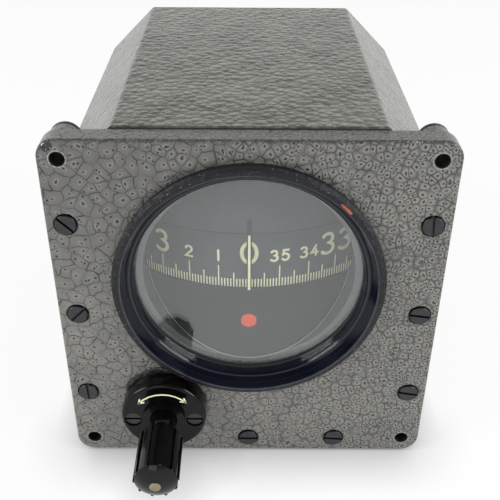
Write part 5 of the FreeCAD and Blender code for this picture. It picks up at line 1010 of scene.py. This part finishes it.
# %% Sealing compound
BEAD_FROM, BEAD_TO = 66, 160       # degrees round the knob
BEAD_STEPS = 48
BEAD_ROWS = 7
BEAD_WIDEST = 3.0 * MM
BEAD_HEIGHT = 0.9 * MM
BEAD_UNDER = 0.6 * MM              # how far it reaches under the flange's rounded edge
BEAD_START = 0.02                  # of its length, which its first end lacks, so that it starts blunt
BEAD_BLUNT = 0.7                   # under 1 it swells sooner from its ends
LEAST_RISE = 0.25                  # of its height, at its ends
WIDTH_LUMPS = (0.75, 1.05)
HEIGHT_LUMPS = (0.6, 1.1)
lumps = random.Random(7)
bead = bmesh.new()
rows = []
for i in range(BEAD_STEPS + 1):
    share = i / BEAD_STEPS
    angle = math.radians(BEAD_FROM + (BEAD_TO - BEAD_FROM) * share)
    taper = math.sin(math.pi * min(1, BEAD_START + share * (1 + BEAD_START))) ** BEAD_BLUNT
    width = BEAD_WIDEST * taper * lumps.uniform(*WIDTH_LUMPS) + BEAD_UNDER
    tallest = BEAD_HEIGHT * (LEAST_RISE + (1 - LEAST_RISE) * taper)
    row = []
    for j in range(BEAD_ROWS):
        across = j / (BEAD_ROWS - 1)
        radius = FLANGE_R * MM - BEAD_UNDER + width * across
        rise = tallest * math.sqrt(max(0, 1 - across ** 2)) * lumps.uniform(*HEIGHT_LUMPS)
        x = KNOB_X * MM + radius * math.cos(angle)
        z = KNOB_Z * MM + radius * math.sin(angle)
        row.append((x, z, rise if j < BEAD_ROWS - 1 else 0))
    rows.append(row)
tops = [[bead.verts.new((x, -rise, z)) for x, z, rise in row] for row in rows]
feet = [[bead.verts.new((x, PAINT_SINK, z)) for x, z, rise in row] for row in rows]
for i in range(BEAD_STEPS):
    for j in range(BEAD_ROWS - 1):
        bead.faces.new((tops[i][j], tops[i][j + 1], tops[i + 1][j + 1], tops[i + 1][j]))
        bead.faces.new((feet[i][j], feet[i + 1][j], feet[i + 1][j + 1], feet[i][j + 1]))
    for j in (0, BEAD_ROWS - 1):
        bead.faces.new((tops[i][j], tops[i + 1][j], feet[i + 1][j], feet[i][j]))
for i in (0, BEAD_STEPS):
    for j in range(BEAD_ROWS - 1):
        bead.faces.new((tops[i][j], feet[i][j], feet[i][j + 1], tops[i][j + 1]))
bmesh.ops.recalc_face_normals(bead, faces=list(bead.faces))
for face in bead.faces:
    face.smooth = True

# %% The compound's skin
COMPOUND_BLACK = "#0d0d0e"
COMPOUND_GREY = "#2b2a2a"
SKIN_LENGTH = 0.7           # mm, of the wrinkles that it dried with
SKIN_RELIEF = 0.15          # mm

compound, tree = new_material("black_sealing_compound")
in_mm = place_in_mm(tree)
skin = add(tree, "TexNoise", Vector=in_mm, Scale=1 / SKIN_LENGTH, Detail=4.0, Roughness=0.6)
tone = add(tree, "MapRange", SMOOTH, skin, 0.4, 0.7, 0, 1)
base = add(tree, "MixRGB", None, tone, linear(COMPOUND_BLACK), linear(COMPOUND_GREY))
relief = add(tree, "Bump", Strength=0.8, Distance=SKIN_RELIEF * MM, Height=skin)
coat = add(tree, "BsdfPrincipled", Base_Color=base, Roughness=0.25, IOR=1.5, Normal=relief)
add(tree, "OutputMaterial", Surface=coat)
new_piece("sealing_compound", bead, compound, "instrument")

# %% [markdown]
# The screws are blackened steel, with the black worn to slate grey on their faces. The corner plates
# are blackened too, and the shims and gaskets are black rubber, which the matt paint's function gives.

# %% Screws, plates, shims and gaskets
FACE_FROM, FACE_FULL = -0.8, -0.98      # the y of the way a face looks, where its wear begins
SCUFF_LENGTH = 0.9          # mm
LEAST_SCUFF = 0.35
SCUFF_RELIEF = 0.02         # mm
BLACKING_INDEX = 1.5


def worn_black_steel(name, black, worn, roughness):
    """Blackened steel, worn to grey where its faces look forward."""
    material, tree = new_material(name)
    in_mm = place_in_mm(tree)
    forward = add(tree, "MapRange", SMOOTH, facing_of(tree)["Y"], FACE_FROM, FACE_FULL, 0, 1)
    scuff = add(tree, "TexNoise", Vector=in_mm, Scale=1 / SCUFF_LENGTH, Detail=5.0, Roughness=0.7)
    scuff_share = add(tree, "MapRange", SMOOTH, scuff, 0.35, 0.65, LEAST_SCUFF, 1)
    share = add(tree, "Math", TIMES, forward, scuff_share)
    base = add(tree, "MixRGB", None, share, linear(black), linear(worn))
    relief = add(tree, "Bump", Strength=0.3, Distance=SCUFF_RELIEF * MM, Height=scuff)
    coat = add(tree, "BsdfPrincipled", Base_Color=base, Roughness=roughness, IOR=BLACKING_INDEX,
               Normal=relief)
    add(tree, "OutputMaterial", Surface=coat)
    return material


dress(worn_black_steel("blackened_steel_screws", "#0a0b0c", "#272a2e", 0.38),
      "panel_screws", "dial_frame_screws", "corner_nut_plates")
dress(worn_black_steel("blackened_flange_screws", "#0b0b0c", "#27282a", 0.35), "flange_screws")
dress(matt_paint("black_rubber", "#1c1c1c", "#262524", 0.85, 6, 0.25),
      "corner_shims", "case_gasket", "glass_gasket")

# %% [markdown]
# Bare metal comes in three makes here: turned parts with fine rings from the tool, ground and drawn
# parts with fine lines, and castings with a grainy skin. One function makes them all, from the
# metal's own reflection colour, its roughness and the size of its grain.

# %% Bare metals
TARNISH_LENGTH = 7          # mm
TARNISH_SHARE = 0.7
ALONG_Y = (1, 12, 1)        # how the grain is drawn out, against its size
EVEN = (1, 1, 1)


def bare_metal(name, colour, tarnish, roughness, grain_mm, grain_stretch, depth_mm):
    """Bare metal with a grain of a real size. grain_stretch draws the grain out along an axis."""
    material, tree = new_material(name)
    in_mm = place_in_mm(tree)
    drawn = add(tree, "VectorMath", {"operation": "DIVIDE"}, in_mm, grain_stretch)
    grain = add(tree, "TexNoise", Vector=drawn, Scale=1 / grain_mm, Detail=5.0, Roughness=0.6)
    patches = add(tree, "TexNoise", Vector=in_mm, Scale=1 / TARNISH_LENGTH, Detail=4.0, Roughness=0.65)
    share = add(tree, "MapRange", SMOOTH, patches, 0.4, 0.7, 0, TARNISH_SHARE)
    base = add(tree, "MixRGB", None, share, linear(colour), linear(tarnish))
    rough = add(tree, "MapRange", None, patches, 0.3, 0.7, roughness * 0.8, roughness * 1.3)
    relief = add(tree, "Bump", Strength=0.6, Distance=depth_mm * MM, Height=grain)
    metal = add(tree, "BsdfPrincipled", Base_Color=base, Metallic=1.0, Roughness=rough, Normal=relief)
    add(tree, "OutputMaterial", Surface=metal)
    return material


dress(bare_metal("turned_alloy", "#c9c8c4", "#a5a39d", 0.3, 0.5, EVEN, 0.01),
      "card_spider", "connector_shell")
dress(bare_metal("sand_cast_alloy", "#b5b4b0", "#8f8d88", 0.48, 0.7, EVEN, 0.04),
      "slide_yoke", "upper_bracket", "lower_bracket", "rear_post", "outer_gimbal",
      "rotor_housing_body", "rotor_housing_cover")
dress(bare_metal("turned_brass", "#d9bf86", "#a08a5c", 0.32, 0.4, EVEN, 0.01),
      "knob_gear", "lay_gear", "crown_gear", "connector_pins")
dress(bare_metal("dull_worn_brass", "#a39a80", "#6f6854", 0.42, 0.4, EVEN, 0.01), "knob_pin")
dress(bare_metal("ground_steel", "#b9b8b6", "#918f8c", 0.26, 0.5, ALONG_Y, 0.008),
      "knob_shaft", "lay_pinion", "lay_shaft", "guide_rods", "return_spring", "cage_plunger",
      "frame_screws", "upper_bearing", "lower_bearing", "tilt_bearings", "upper_trunnion",
      "lower_trunnion", "tilt_pivots", "rotor_bearings", "rotor_shaft", "connector_screws")
dress(bare_metal("turned_rotor_steel", "#8f8e8f", "#6f6e70", 0.3, 0.4, ALONG_Y, 0.01),
      "torquer_rotor", "rotor")
dress(bare_metal("phosphor_bronze", "#c98f5c", "#8f6440", 0.33, 0.4, EVEN, 0.01),
      "shaft_bush", "slip_rings", "brushes")

# %% [markdown]
# Two inner finishes are no metal to the eye. The brush block and the connector's insert are brown
# moulded resin, and the stators are stacks of thin iron under brown varnish. Both are even and half
# dull, so the matt paint's function makes them, with a lower roughness.

# %% Resin and varnished iron
dress(matt_paint("brown_moulded_resin", "#4a2a18", "#382012", 0.5, 8, 0.4),
      "brush_block", "connector_insert")
dress(matt_paint("varnished_iron_laminations", "#54331f", "#3b2417", 0.4, 5, 0.5),
      "torquer_stator", "stator")

# %% [markdown]
# The return spring behind the knob is squeezed as the knob goes in. The frame's own piece is rigid; here
# it is hidden, and a copy of its wire with its own mesh stands for it on the instrument's body.

# %% Return spring
spring_wire = bpy.data.objects.new("spring_wire", nodes["return_spring"].data.copy())
scene.collection.objects.link(spring_wire)
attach(spring_wire, "instrument")
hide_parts("return_spring")
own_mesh(spring_wire)

# %% [markdown]
# The bushes in the corner holes are bare alloy that years of screws and dirt have darkened: dull on
# the face, and bright only on the outer rim. Their bores are painted black, as painted shade.

# %% Corner bushes
BUSH_BORE = 2.35            # mm, its radius
BUSH_WALL = 0.6             # mm
HOLE_AT = 58.5              # mm from the panel's middle, both ways
# black in the bore as painted shade, and dark patches of dirt on the face
BUSH_DIRT_AND_SHADE = "#0b0b0c"
BUSH_BARE = "#b5b3ae"
BUSH_SCUFF = 0.8            # mm
DARK_TO, BARE_FROM = 0.15, 0.5          # of the wall, out from the bore
LEAST_BARE = 0.35
DARK_ROUGH, BARE_ROUGH = 0.7, 0.3

bush, tree = new_material("turned_alloy_with_dirt_and_painted_shade")
in_mm = place_in_mm(tree)
radius = mm_from_corners(tree, in_mm, HOLE_AT)
scuff = add(tree, "TexNoise", Vector=in_mm, Scale=1 / BUSH_SCUFF, Detail=4.0, Roughness=0.7)
# painted shade in the bore, patchy dirt on the face, bare towards the outer rim
clean = add(tree, "MapRange", SMOOTH, radius, BUSH_BORE + BUSH_WALL * DARK_TO,
            BUSH_BORE + BUSH_WALL * BARE_FROM, 0, 1)
patchy = add(tree, "MapRange", SMOOTH, scuff, 0.4, 0.62, LEAST_BARE, 1)
clean = add(tree, "Math", TIMES, clean, patchy)
base = add(tree, "MixRGB", None, clean, linear(BUSH_DIRT_AND_SHADE), linear(BUSH_BARE))
rough = add(tree, "MapRange", None, clean, 0, 1, DARK_ROUGH, BARE_ROUGH)
metal = add(tree, "BsdfPrincipled", Base_Color=base, Metallic=clean, Roughness=rough)
add(tree, "OutputMaterial", Surface=metal)
dress(bush, "corner_bushes")
